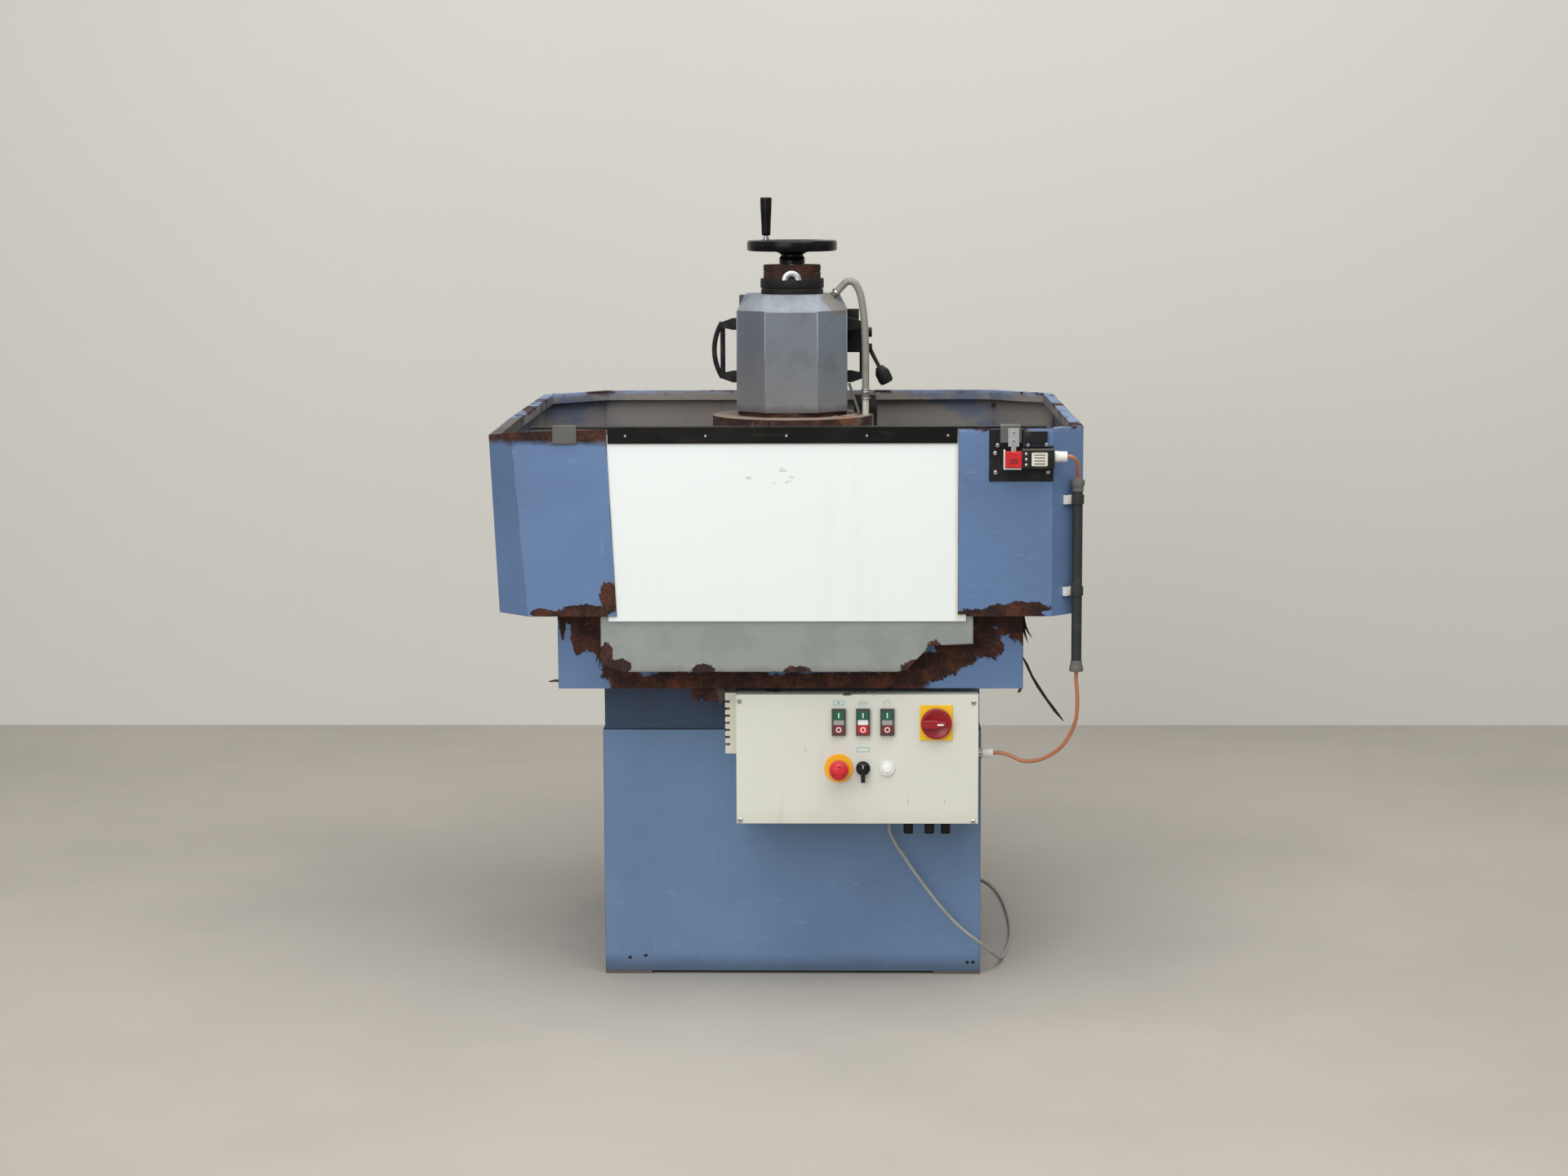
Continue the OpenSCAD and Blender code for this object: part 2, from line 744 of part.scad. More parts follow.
module estop_mushroom() {
    color("red") translate(on_lid(estop_x, lower_z)) {
        rod_y([0, -30, 0], 9, 40);
        translate([0, -30, 0]) rotate([90, 0, 0]) rotate_extrude() polygon([
            [0, 0], [mushroom_r - 3, 0], [mushroom_r, 3], [mushroom_r, 9],
            [mushroom_r * 0.85, 13.5], [mushroom_r * 0.55, 16.5], [0, 18]]);
    }
}

module white_button() {
    color("white") translate(on_lid(white_x, lower_z)) rod_y([0, -9, 0], 11, 15);
}

// ---- inside the pedestal -------------------------------------------------------------------

module bearing_housing() {
    color("gray") difference() {
        union() {
            rod_z([0, -table_front, pan_floor], table_shaft_r + 60, 14);
            translate([0, -table_front, pan_floor]) cylinder(r1 = table_shaft_r + 40,
                r2 = table_shaft_r + 25, h = table_z - 70 - pan_floor);
        }
        rod_z([0, -table_front, pan_floor - 1], table_shaft_r + table_fit, table_z);
    }
}

module table_motor() {
    strap_y = -table_front - table_pulley_r - 12;
    color("slategray") {
        rod_z([motor_x, -table_front, pulley_z - 230], 75, 215);
        span([motor_x - 90, strap_y - 14, pulley_z - 16],
             [motor_x + 90, -table_front + 90, pulley_z - 8]);
        for (x = [-1, 1]) span([motor_x + x * 80 - 8, strap_y - 14, pulley_z - 8 - eps],
                               [motor_x + x * 80 + 8, strap_y, ped_h - deck_t]);
    }
}

tank_x0 = -320;
tank_y0 = -325;
tank_z0 = foot_t + ped_sheet;
tank_w = 300;
tank_d = 440;
tank_top = 260;

module coolant_tank() {
    t = 4;
    color("gray") difference() {
        span([tank_x0, tank_y0, tank_z0], [tank_x0 + tank_w, tank_y0 + tank_d, tank_top]);
        span([tank_x0 + t, tank_y0 + t, tank_z0 + t],
             [tank_x0 + tank_w - t, tank_y0 + tank_d - t, tank_top + 1]);
    }
}

module coolant_pump() {
    color("seagreen") {
        pump_x = tank_x0 + tank_w / 2;
        pump_y = tank_y0 + tank_d - 70;
        span([tank_x0, pump_y - 50, tank_top], [tank_x0 + tank_w, pump_y + 50, tank_top + 8]);
        rod_z([pump_x, pump_y, 60], 26, tank_top - 60 + eps);
        rod_z([pump_x, pump_y, tank_top + 8 - eps], 46, 120);
    }
}

module drive_belt() {
    t = 6;
    clear = 0.4;
    color("black") translate([0, -table_front, pulley_z + 8]) linear_extrude(pulley_h - 16)
        difference() {
            belt_line(clear + t);
            belt_line(clear);
        }
}

// Outline of a tight belt round the two pulleys, that far outside them
module belt_line(out) {
    hull() {
        circle(table_pulley_r + out);
        translate([belt_centres, 0]) circle(motor_pulley_r + out);
    }
}

module pump_lead() {
    color("gray") cord(pump_lead_route, pump_lead_d, 2);
}

// ---- rotary table --------------------------------------------------------------------------

module turntable() {
    color("silver") translate([0, -table_front, 0]) {
        difference() {
            rod_z([0, 0, table_z - 30], table_r, 30);
            for (r = [120, 200]) difference() {
                rod_z([0, 0, table_z - 4], r + 5, 5);
                rod_z([0, 0, table_z - 5], r - 5, 7);
            }
            rod_z([0, 0, table_z - 31], table_shaft_r, 32);
        }
        difference() {
            rod_z([0, 0, table_z - 60], table_r - 6, 30 + eps);
            rod_z([0, 0, table_z - 61], table_r - 12, 32);
        }
    }
}

module table_shaft() {
    color("silver") translate([0, -table_front, 0]) {
        rod_z([0, 0, pulley_z], table_shaft_r, table_z - pulley_z);
        difference() {
            rod_z([0, 0, pulley_z], table_pulley_r, pulley_h);
            rod_z([0, 0, pulley_z - 1], table_shaft_r - eps, pulley_h + 2);
        }
        rod_z([0, 0, table_z - 66], table_shaft_r + 25, 36);
    }
}

module motor_pulley() {
    color("silver") {
        rod_z([motor_x, -table_front, pulley_z], motor_pulley_r, pulley_h);
        rod_z([motor_x, -table_front, pulley_z - 6], 14, 8);
    }
}

// ---- column and swinging head --------------------------------------------------------------

module column() {
    color("gray") {
        rod_z([spindle_x, column_y, pan_floor], column_r, column_top - pan_floor);
        difference() {
            rod_z([spindle_x, column_y, pan_floor], column_r + 50, 22);
            for (k = [0 : 5]) translate([spindle_x, column_y, 0]) rotate(k * 60)
                rod_z([column_r + 32, 0, pan_floor - 1], 7, 24);
        }
        // stop collar that carries the arm
        rod_z([spindle_x, column_y, arm_z - 24], column_r + 18, 23.7);
    }
}

module head_housing() {
    bore = quill_r + quill_fit;
    color("lightsteelblue") translate([spindle_x, spindle_y, 0]) difference() {
        union() {
            translate([0, 0, head_z]) linear_extrude(head_wall_h) polygon(octagon(head_r, head_cham));
            hull() {
                translate([0, 0, head_roof_z - eps]) linear_extrude(eps)
                    polygon(octagon(head_r, head_cham));
                translate([0, 0, head_top - eps]) linear_extrude(eps)
                    polygon(octagon(roof_flat / 2, roof_flat / 2 - head_r + head_cham));
            }
            // shoulders at the rear of the roof
            hull() {
                span([-head_r, -5, head_roof_z - eps],
                     [head_r, head_r - head_cham, head_roof_z]);
                span([-head_r * 0.85, 0, head_top - eps],
                     [head_r * 0.85, head_r - head_cham, head_top]);
            }
        }
        rod_z([0, 0, head_z - 1], bore, head_wall_h + 1);
        rod_z([0, 0, head_roof_z - 2], 14, roof_h + 4);
    }
}

module head_arm() {
    inner = column_r + swing_fit;
    ring_r = column_r + 34;
    rear = spindle_y + head_r;
    color("gray") difference() {
        union() {
            translate([spindle_x, rear + 22, arm_z]) rotate([90, 0, 0]) linear_extrude(22)
                polygon([[-head_r, 0], [head_r, 0], [head_r, arm_h - 45],
                         [head_r - 45, arm_h], [-head_r, arm_h]]);
            span([spindle_x - 62, rear + 22 - eps, arm_z + 8],
                 [spindle_x + 62, column_y, arm_z + arm_h - 30]);
            rod_z([spindle_x, column_y, arm_z], ring_r, arm_h - 22);
        }
        rod_z([spindle_x, column_y, arm_z - 1], inner, arm_h + 2);
    }
}

// Bridge handle on the +X side of its seat: two tapered feet and an upright bar
module bridge_handle(out, h) {
    rotate([90, 0, 0]) for (side = [0, 1]) translate([0, side * h, -9]) mirror([0, side, 0])
        linear_extrude(18) polygon([[0, 0], [10, 0], [out, 10], [out, 20], [10, 26], [0, 26]]);
    rod_z([out - 5.5, 0, 12], 5.5, h - 24);
}

module head_handles() {
    low = head_z + 61;
    h = 143;
    bow = 116;
    sweep = 32;
    color("black") {
        translate([spindle_x + head_r, spindle_y, low]) bridge_handle(38, h);
        translate([spindle_x - head_r, spindle_y, low]) mirror([1, 0, 0]) bridge_handle(38, h);
        translate([spindle_x - head_r - 52 + bow, spindle_y + 14, low + h / 2]) rotate([90, 0, 0])
            rotate(180 - sweep) rotate_extrude(angle = 2 * sweep) translate([bow, 0])
            circle(5.5);
    }
}

module wheel_guard() {
    plate = 6;
    wall = 4;
    color("saddlebrown") translate([spindle_x, spindle_y, 0]) difference() {
        union() {
            rod_z([0, 0, guard_top - guard_h], guard_r, guard_h);
            rod_z([0, 0, guard_top - eps], head_r - 1, head_z - guard_top + eps);
        }
        rod_z([0, 0, guard_top - guard_h - 1], guard_r - wall, guard_h + 1 - plate);
        rod_z([0, 0, guard_top - plate - 1], quill_r + 6, 20 + plate);
    }
}

module collar_rings() {
    z = head_top;
    color("black") translate([spindle_x, spindle_y, 0]) difference() {
        union() {
            rod_z([0, 0, z], collar_r - 0.8, 11);
            rod_z([0, 0, z + 11], collar_r, collar_h - 11);
            rod_z([0, 0, z + collar_h], cap_r, cap_h);
        }
        rod_z([0, 0, z - 1], 12, collar_h + cap_h + 2);
    }
    // half-round lifting eye on the lower collar
    color("silver") translate([spindle_x, spindle_y - (cap_r + 3.3), z + collar_h])
        rotate([90, 0, 0]) intersection() {
            difference() {
                translate([0, 0, -3]) cylinder(r = 22, h = 6);
                translate([0, 0, -4]) cylinder(r = 11, h = 8);
            }
            translate([-30, 0, -5]) cube([60, 40, 10]);
        }
}

module head_hose() {
    color("tan") cord(hose_route, hose_d, 2);
}

module hose_fittings() {
    side = spindle_x + head_r;
    pipe_x = spindle_x + guard_r + 3;
    roof_tilt = atan(roof_h / (head_r - roof_flat / 2));
    color("dimgray") {
        // terminal box with its plug, and the grey block above it
        span([side, spindle_y + 22, head_z + 126], [side + 33, spindle_y + 54, head_z + 182]);
        rod_x([side + 33, spindle_y + 40, head_z + 170], 11, 22);
        span([side, spindle_y + 24, head_roof_z - 26], [side + 26, spindle_y + 52, head_roof_z]);
        // cheek and pin of the lever
        span([side + 32, lever_p.y + 8.4, lever_p.z - 8],
             [lever_p.x + 7, lever_p.y + 12.4, lever_p.z + 8]);
        rod_y(lever_p - [0, 8, 0], lever_pin_r, 17);
        // water block and its down pipe beside the guard
        span([side + 15, 60, guard_top], [side + 64, 98, guard_top + 42]);
        span([pipe_x, 76, guard_top - guard_h], [pipe_x + 8, 84, guard_top + 20]);
    }
    color("tan") {
        translate([spindle_x + roof_flat / 2 + 6, 22, head_top - 6 * tan(roof_tilt)])
            rotate([0, roof_tilt, 0]) gland(16, 8);
        rod_z([158, 20, head_z + 26], 9.5, 22);
        rod_z([158, 20, guard_top], 7.5, 36 + eps);
        bar([side + 4, 10, head_z + 61], [side + 26, 11, guard_top + 5], 3);
    }
}

module quill() {
    color("silver") translate([spindle_x, spindle_y, 0]) difference() {
        rod_z([0, 0, quill_z0], quill_r, quill_l);
        rod_z([0, 0, quill_z0 + 12], quill_r - 10, quill_l - 30);
        rod_z([0, 0, quill_z0 - 1], spindle_r + 1, 20);
        rod_z([0, 0, quill_z0 + quill_l - 20], 8.4, 22);
    }
}

module spindle_motor() {
    color("sienna") translate([spindle_x, spindle_y, 0]) difference() {
        rod_z([0, 0, quill_z0 + 30], quill_r - 10, 100);
        rod_z([0, 0, quill_z0 + 29], spindle_r + 14, 102);
    }
}

module spindle_shaft() {
    color("silver") translate([spindle_x, spindle_y, 0]) {
        rod_z([0, 0, guard_top - 30], spindle_r, quill_z0 + 140 - guard_top + 30);
        rod_z([0, 0, quill_z0 + 32], spindle_r + 12, 96);
    }
}

module cup_wheel() {
    top = guard_top - 14;
    color("goldenrod") translate([spindle_x, spindle_y, 0]) difference() {
        union() {
            rod_z([0, 0, top - 12], wheel_r, 12);
            rod_z([0, 0, top - cup_h], wheel_r, cup_h);
        }
        rod_z([0, 0, top - cup_h - 1], wheel_r - 25, cup_h - 11);
        rod_z([0, 0, top - 20], spindle_r, 30);
    }
}

module feed_screw() {
    color("silver") translate([spindle_x, spindle_y, 0]) {
        rod_z([0, 0, quill_z0 + quill_l - 16], 8, hub_z - quill_z0 - quill_l + 16);
    }
}

module handwheel() {
    r = hand_r;
    color("black") {
        translate([spindle_x, spindle_y, 0]) rotate_extrude() polygon([
            [0, hub_z], [28.5, hub_z], [28.5, hub_z + 14], [25, hub_z + 16], [25, hub_z + 20],
            [43, wheel_z], [r * 0.78, wheel_z + 7], [r * 0.8, wheel_z], [r - 3, wheel_z],
            [r, wheel_z + 4], [r, wheel_z + hand_h - 5], [r - 5, wheel_z + hand_h],
            [r * 0.74, wheel_z + hand_h], [r * 0.7, wheel_z + hand_h - 4],
            [30, wheel_z + hand_h - 8], [22, wheel_z + hand_h - 2], [0, wheel_z + hand_h - 2]]);
        rod_z([grip_x, grip_y, wheel_z + hand_h - 1], 7, 9.5);
    }
}

module wheel_grip() {
    color("black") translate([grip_x, grip_y, grip_z]) {
        cylinder(r1 = grip_r * 0.8, r2 = grip_r, h = grip_l * 0.82);
        translate([0, 0, grip_l * 0.82 - eps]) cylinder(r = grip_r, h = grip_l * 0.18 - 2);
        translate([0, 0, grip_l - 2 - 2 * eps]) cylinder(r1 = grip_r, r2 = grip_r - 2, h = 2);
    }
}

module clamp_lever() {
    elbow = lever_p + [25, 0, -48];
    color("black") difference() {
        union() {
            rod_y(lever_p - [0, 8, 0], 7, 16);
            bar(lever_p, elbow, 4.5);
            bar(elbow + [-2, 0, 4], elbow + [16, 0, -32], 16);
        }
        rod_y(lever_p - [0, 9, 0], lever_pin_r + 0.05, 18);
    }
}

// ---- drawing -------------------------------------------------------------------------------

foot_plates();
pedestal_cabinet();
pedestal_top_frame();
drip_pan();
hood_shell();
door_guides();
apron_strip();
interlock_plate();
interlock_switch();
service_panel();
switch_cable();
conduit();
box_cable();
box_body();
box_lid();
panel_screws();
cable_duct();
cable_glands();
button_bezels();
switch_plates();
column();
bearing_housing();
table_motor();
coolant_tank();
coolant_pump();
pump_lead();
drive_belt();
door_panel();
door_angle();
door_brackets();
interlock_key();
door_screws();
turntable();
table_shaft();
motor_pulley();
head_housing();
head_arm();
head_handles();
wheel_guard();
collar_rings();
head_hose();
hose_fittings();
quill();
spindle_motor();
spindle_shaft();
cup_wheel();
feed_screw();
handwheel();
wheel_grip();
clamp_lever();
main_switch_knob();
selector_knob();
estop_mushroom();
white_button();
start_button_1();
start_button_2();
start_button_3();
stop_button_1();
stop_button_2();
stop_button_3();
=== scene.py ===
"""Finished pieces of a floor-standing wet trim grinder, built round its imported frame."""

import json
import math

import bmesh
import bpy
from bpy.props import FloatProperty, FloatVectorProperty, IntProperty, PointerProperty
from mathutils import Euler, Matrix, Vector, noise


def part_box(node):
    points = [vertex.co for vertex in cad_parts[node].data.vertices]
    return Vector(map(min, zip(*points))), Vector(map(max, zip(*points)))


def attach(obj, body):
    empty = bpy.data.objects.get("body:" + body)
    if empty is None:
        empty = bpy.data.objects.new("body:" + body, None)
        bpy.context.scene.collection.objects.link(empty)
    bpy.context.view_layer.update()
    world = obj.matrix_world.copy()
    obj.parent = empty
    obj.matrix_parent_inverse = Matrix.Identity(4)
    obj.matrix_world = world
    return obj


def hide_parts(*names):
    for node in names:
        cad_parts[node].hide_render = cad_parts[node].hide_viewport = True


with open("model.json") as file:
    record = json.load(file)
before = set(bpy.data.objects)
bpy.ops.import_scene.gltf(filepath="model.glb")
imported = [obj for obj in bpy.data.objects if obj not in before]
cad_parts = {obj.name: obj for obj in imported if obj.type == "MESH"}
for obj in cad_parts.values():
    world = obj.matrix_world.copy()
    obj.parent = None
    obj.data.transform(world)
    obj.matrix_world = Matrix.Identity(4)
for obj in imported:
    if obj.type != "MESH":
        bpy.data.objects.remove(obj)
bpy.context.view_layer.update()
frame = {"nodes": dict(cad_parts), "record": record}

bl_info = {
    "name": "Wet trim grinder",
    "version": (1, 0, 0),
    "blender": (4, 5, 0),
    "location": "3D View > Sidebar > Grinder",
    "description": "Builds the finished pieces of a wet trim grinder round its packed frame",
    "category": "Object",
}

MM = 0.001
SPINDLE_X, SPINDLE_Y = -0.005, 0.050    # middle of the head, quill and handwheel
COLUMN_Y = 0.330                        # middle of the column behind the hood
TABLE_Y = -0.15                         # middle of the rotary table and its motor
CONDUIT_X, CONDUIT_Y = 0.587, -0.564    # middle of the stiff conduit
RIM_SAG = 0.0161                        # drop of the leaning side's rim at its front corner

# ---- sizes and colours that a user may change ----------------------------------------------

def tint(red, green, blue):
    """A colour picked on a screen's 0 to 255 scale, turned into the amount of light."""
    return tuple(v / 3294.6 if v < 11 else ((v / 255 + 0.055) / 1.055) ** 2.4
                 for v in (red, green, blue))


def color_prop(name, about, red, green, blue):
    return FloatVectorProperty(name=name, description=about, subtype="COLOR", size=3,
                               min=0, max=1, default=tint(red, green, blue))


def length_prop(name, about, value):
    return FloatProperty(name=name, description=about, subtype="DISTANCE", unit="LENGTH",
                         min=0, default=value)


class GrinderColors(bpy.types.PropertyGroup):
    """Paints and mouldings"""
    blue: color_prop("Enamel", "Blue enamel of the cabinet, pan and hood", 93, 120, 159)
    # cabinet: the blue enamel made lighter as painted light, for the light thrown up from the floor
    cabinet: color_prop("Cabinet enamel", "Blue enamel of the cabinet", 104, 132, 168)
    # frame: the blue enamel made darker as painted shade, for the shadow that the overhanging pan
    # casts on it
    frame_shaded_blue: color_prop("Frame enamel", "Enamel of the welded frame, darkened as painted shade", 50, 70, 98)
    head: color_prop("Head", "Painted casting of the spindle head", 104, 107, 111)
    cream: color_prop("Control box", "Cream enamel of the control box", 216, 217, 205)
    door: color_prop("Door", "White sheet of the lift-up door", 230, 235, 233)
    rust_dark: color_prop("Dark rust", "Old scale", 38, 22, 18)
    rust_warm: color_prop("Warm rust", "Fresh rust", 92, 51, 34)
    cable: color_prop("Power cable", "Orange-brown sheath", 178, 112, 78)


class GrinderSizes(bpy.types.PropertyGroup):
    """Small hardware and edges"""
    sheet_edge: length_prop("Sheet edge", "Rounding of the folded sheet", 0.0012)
    cast_edge: length_prop("Cast edge", "Rounding of the castings", 0.003)
    mould_edge: length_prop("Moulded edge", "Rounding of the plastic mouldings", 0.0009)
    screw_r: length_prop("Screw head", "Radius of the pan-head screws", 0.004)
    cord_sides: IntProperty(name="Cord sides", description="Faces round a cord",
                            min=8, max=32, default=16)
    lathe_steps: IntProperty(name="Turned steps", description="Faces round a turned piece",
                             min=24, max=128, default=72)


class GrinderStage(bpy.types.PropertyGroup):
    """Camera, floor and lights"""
    lens: FloatProperty(name="Lens", description="Focal length on a 36 mm sensor",
                        subtype="DISTANCE_CAMERA", min=10, default=69.69)
    key: FloatProperty(name="Key light", description="Power of the big overhead softbox",
                       subtype="POWER", min=0, default=185)
    fill: FloatProperty(name="Fill light", description="Power of the front softbox",
                        subtype="POWER", min=0, default=135)
    floor: color_prop("Floor", "Plain floor", 178, 172, 163)
    wall: color_prop("Backdrop", "Plain backdrop", 214, 212, 205)


# ---- meshes ----------------------------------------------------------------------------------

TURNS = {
    "Z": Euler((0, 0, 0)), "-Z": Euler((math.pi, 0, 0)),
    "-Y": Euler((math.pi / 2, 0, 0)), "Y": Euler((-math.pi / 2, 0, 0)),
    "X": Euler((0, math.pi / 2, 0)), "-X": Euler((0, -math.pi / 2, 0)),
}


def seat(at, axis="Z"):
    """The matrix that puts a local Z along that axis, with its origin at a point."""
    turn = TURNS[axis].to_matrix() if isinstance(axis, str) else \
        Vector(axis).to_track_quat("Z", "Y").to_matrix()
    return Matrix.Translation(Vector(at)) @ turn.to_4x4()


def rounded(width, height, radius, steps=5):
    """Outline of a rectangle with round corners, centred on the origin."""
    out = []
    for quarter, (sx, sy) in enumerate(((1, 1), (-1, 1), (-1, -1), (1, -1))):
        for k in range(steps + 1):
            a = math.radians(90 * (quarter + k / steps))
            out.append((sx * (width / 2 - radius) + radius * math.cos(a),
                        sy * (height / 2 - radius) + radius * math.sin(a)))
    return out


class Form:
    """One piece's mesh while it is being made, in metres, in the row's frame."""

    def __init__(self, *finishes):
        self.bm = bmesh.new()
        self.finishes = list(finishes)
        self.use = 0

    def close(self, faces):
        bmesh.ops.recalc_face_normals(self.bm, faces=faces)
        for face in faces:
            face.material_index = self.use
        return faces

    def copy(self, node, keep=None):
        """A clean copy of a CAD node's mesh; keep(centre) picks the faces to bring over."""
        part = bmesh.new()
        part.from_mesh(frame["nodes"][node].data)
        bmesh.ops.remove_doubles(part, verts=part.verts, dist=2e-6)
        bmesh.ops.dissolve_degenerate(part, edges=part.edges, dist=1e-6)
        bmesh.ops.dissolve_limit(part, angle_limit=math.radians(0.6), verts=part.verts,
                                 edges=part.edges)
        for face in part.faces:
            face.material_index = self.use if keep is None else keep(face.calc_center_median())
        mesh = bpy.data.meshes.new("copy")
        part.to_mesh(mesh)
        part.free()
        self.bm.from_mesh(mesh)
        bpy.data.meshes.remove(mesh)
        return self

    def lathe(self, profile, at, axis="Z", steps=None, ring=False):
        """Turned shape: (radius, height) points, closed where the radius is nought."""
        steps = steps or bpy.context.scene.grinder_sizes.lathe_steps
        place = seat(at, axis)
        rows = []
        for r, h in profile:
            if r < 1e-7:
                rows.append([self.bm.verts.new(place @ Vector((0, 0, h)))])
            else:
                rows.append([self.bm.verts.new(place @ Vector((
                    r * math.cos(math.tau * k / steps), r * math.sin(math.tau * k / steps), h)))
                    for k in range(steps)])
        faces = []
        for low, top in zip(rows, rows[1:] + rows[:1] if ring else rows[1:]):
            for k in range(steps):
                n = (k + 1) % steps
                corners = [low[k % len(low)], low[n % len(low)], top[n % len(top)],
                           top[k % len(top)]]
                corners = list(dict.fromkeys(corners))
                if len(corners) > 2:
                    faces.append(self.bm.faces.new(corners))
        self.close(faces)
        return self

    def prism(self, outline, low, high, at=(0, 0, 0), axis="Z"):
        """A flat outline raised from one height to another."""
        place = seat(at, axis)
        base = [self.bm.verts.new(place @ Vector((x, y, low))) for x, y in outline]
        roof = [self.bm.verts.new(place @ Vector((x, y, high))) for x, y in outline]
        faces = [self.bm.faces.new(base), self.bm.faces.new(roof)]
        for k in range(len(outline)):
            n = (k + 1) % len(outline)
            faces.append(self.bm.faces.new((base[k], base[n], roof[n], roof[k])))
        self.close(faces)
        return self

    def block(self, low, high):
        """A box between two corners."""
        low, high = Vector(low), Vector(high)
        size = high - low
        return self.prism([(-size.x / 2, -size.y / 2), (size.x / 2, -size.y / 2),
                           (size.x / 2, size.y / 2), (-size.x / 2, size.y / 2)],
                          0, size.z, ((low.x + high.x) / 2, (low.y + high.y) / 2, low.z))

    def tube(self, path, radius, sides=12, flat=1.0):
        """A round or flattened bar along a path; radius may be one number or one per point."""
        side = Vector((1, 0, 0)) if abs((path[1] - path[0]).normalized().x) < 0.8 \
            else Vector((0, 1, 0))
        rows = []
        for i, point in enumerate(path):
            way = (path[min(i + 1, len(path) - 1)] - path[max(i - 1, 0)]).normalized()
            side = (side - way * side.dot(way)).normalized()
            up = way.cross(side)
            r = radius[i] if isinstance(radius, (list, tuple)) else radius
            rows.append([self.bm.verts.new(
                point + r * (math.cos(math.tau * k / sides) * side
                             + flat * math.sin(math.tau * k / sides) * up))
                for k in range(sides)])
        faces = [self.bm.faces.new(rows[0]), self.bm.faces.new(rows[-1])]
        for low, top in zip(rows, rows[1:]):
            for k in range(sides):
                n = (k + 1) % sides
                faces.append(self.bm.faces.new((low[k], low[n], top[n], top[k])))
        self.close(faces)
        return self

    def done(self, name, body, slot, edge=0.0, steps=2, sharp=34, replaces=()):
        """The finished object: edges rounded, shaded smooth, riding on its body."""
        mesh = bpy.data.meshes.new(name)
        self.bm.to_mesh(mesh)
        self.bm.free()
        for finish in self.finishes:
            mesh.materials.append(FINISH[finish])
        mesh.shade_smooth()
        mesh.set_sharp_from_angle(angle=math.radians(sharp))
        piece = bpy.data.objects.new(name, mesh)
        bpy.context.scene.collection.objects.link(piece)
        if edge:
            bevel = piece.modifiers.new("Rounded edges", "BEVEL")
            bevel.width = edge
            bevel.segments = steps
            bevel.limit_method = "ANGLE"
            bevel.angle_limit = math.radians(38)
            bevel.harden_normals = True
        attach(piece, body)
        if replaces:
            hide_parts(*replaces)
        return piece


def record_slot(node):
    """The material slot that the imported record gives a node."""
    return next(s["material_slot"] for s in frame["record"]["subparts"] if s["node"] == node)


def body_of(node):
    """The body that carries a node."""
    return next(b for b, nodes in frame["record"]["behaviour"]["bodies"].items()
                if node in nodes)


def dress(node, finish, edge, name=None, steps=2, sharp=34, pick=None, more=()):
    """A CAD node's own shape with rounded edges and its finish, in the node's place."""
    form = Form(finish, *more).copy(node, pick)
    return form.done(name or node + "_finished", body_of(node), record_slot(node), edge, steps,
                     sharp, (node,))


def middle(node):
    """Centre of a node's box."""
    low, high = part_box(node)
    return (Vector(low) + Vector(high)) / 2


def smooth_route(points, steps=6):
    """A smooth line through a cord's route points, in metres."""
    route = [Vector(p) * MM for p in points]
    out = []
    for i in range(len(route) - 1):
        a, b = route[max(i - 1, 0)], route[i]
        c, d = route[i + 1], route[min(i + 2, len(route) - 1)]
        for k in range(steps):
            t = k / steps
            out.append(0.5 * (2 * b + t * (c - a) + t * t * (2 * a - 5 * b + 4 * c - d)
                              + t ** 3 * (3 * b - a - 3 * c + d)))
    return out + [route[-1]]


# ---- node trees ------------------------------------------------------------------------------

def add(tree, kind, pins=None, **settings):
    """One node with its settings made and its inputs set or joined."""
    node = tree.nodes.new(kind)
    for key, value in settings.items():
        setattr(node, key, value)
    for key, value in (pins or {}).items():
        if isinstance(value, bpy.types.NodeSocket):
            tree.links.new(value, node.inputs[key])
        else:
            node.inputs[key].default_value = value
    return node


def shader(tree, kind, pins=None, **settings):
    return add(tree, "ShaderNode" + kind, pins, **settings)


def math_of(tree, operation, a, b=0.0):
    return shader(tree, "Math", {0: a, 1: b}, operation=operation).outputs[0]


def ramp_of(tree, value, low, high):
    """0 to 1 as a value goes from low to high, eased at both ends."""
    return shader(tree, "MapRange", {"Value": value, "From Min": low, "From Max": high},
                  interpolation_type="SMOOTHSTEP").outputs[0]


def shared(name, pins, outs, fill):
    """A shader node group made once: pins are (name, kind, value), outs (name, kind)."""
    if name in bpy.data.node_groups:
        return bpy.data.node_groups[name]
    tree = bpy.data.node_groups.new(name, "ShaderNodeTree")
    for label, kind, value in pins:
        socket = tree.interface.new_socket(name=label, in_out="INPUT",
                                           socket_type="NodeSocket" + kind)
        socket.default_value = value
    for label, kind in outs:
        tree.interface.new_socket(name=label, in_out="OUTPUT", socket_type="NodeSocket" + kind)
    source = tree.nodes.new("NodeGroupInput").outputs
    sink = tree.nodes.new("NodeGroupOutput").inputs
    for label, socket in fill(tree, source).items():
        tree.links.new(socket, sink[label])
    return tree


def place_of(tree):
    return shader(tree, "TexCoord").outputs["Object"]


def noise_of(tree, scale, detail=6.0, vector=None, rough=0.6):
    return shader(tree, "TexNoise", {
        "Vector": place_of(tree) if vector is None else vector, "Scale": scale,
        "Detail": detail, "Roughness": rough}).outputs["Fac"]


def fill_grain(tree, pin):
    spot = shader(tree, "VectorMath", {0: place_of(tree), 1: pin["Stretch"]},
                  operation="MULTIPLY").outputs[0]
    moved = shader(tree, "VectorMath", {0: spot, 1: pin["Shift"]}, operation="ADD").outputs[0]
    value = noise_of(tree, pin["Scale"], pin["Detail"], moved)
    return {"Mask": ramp_of(tree, value, pin["Low"], pin["High"])}


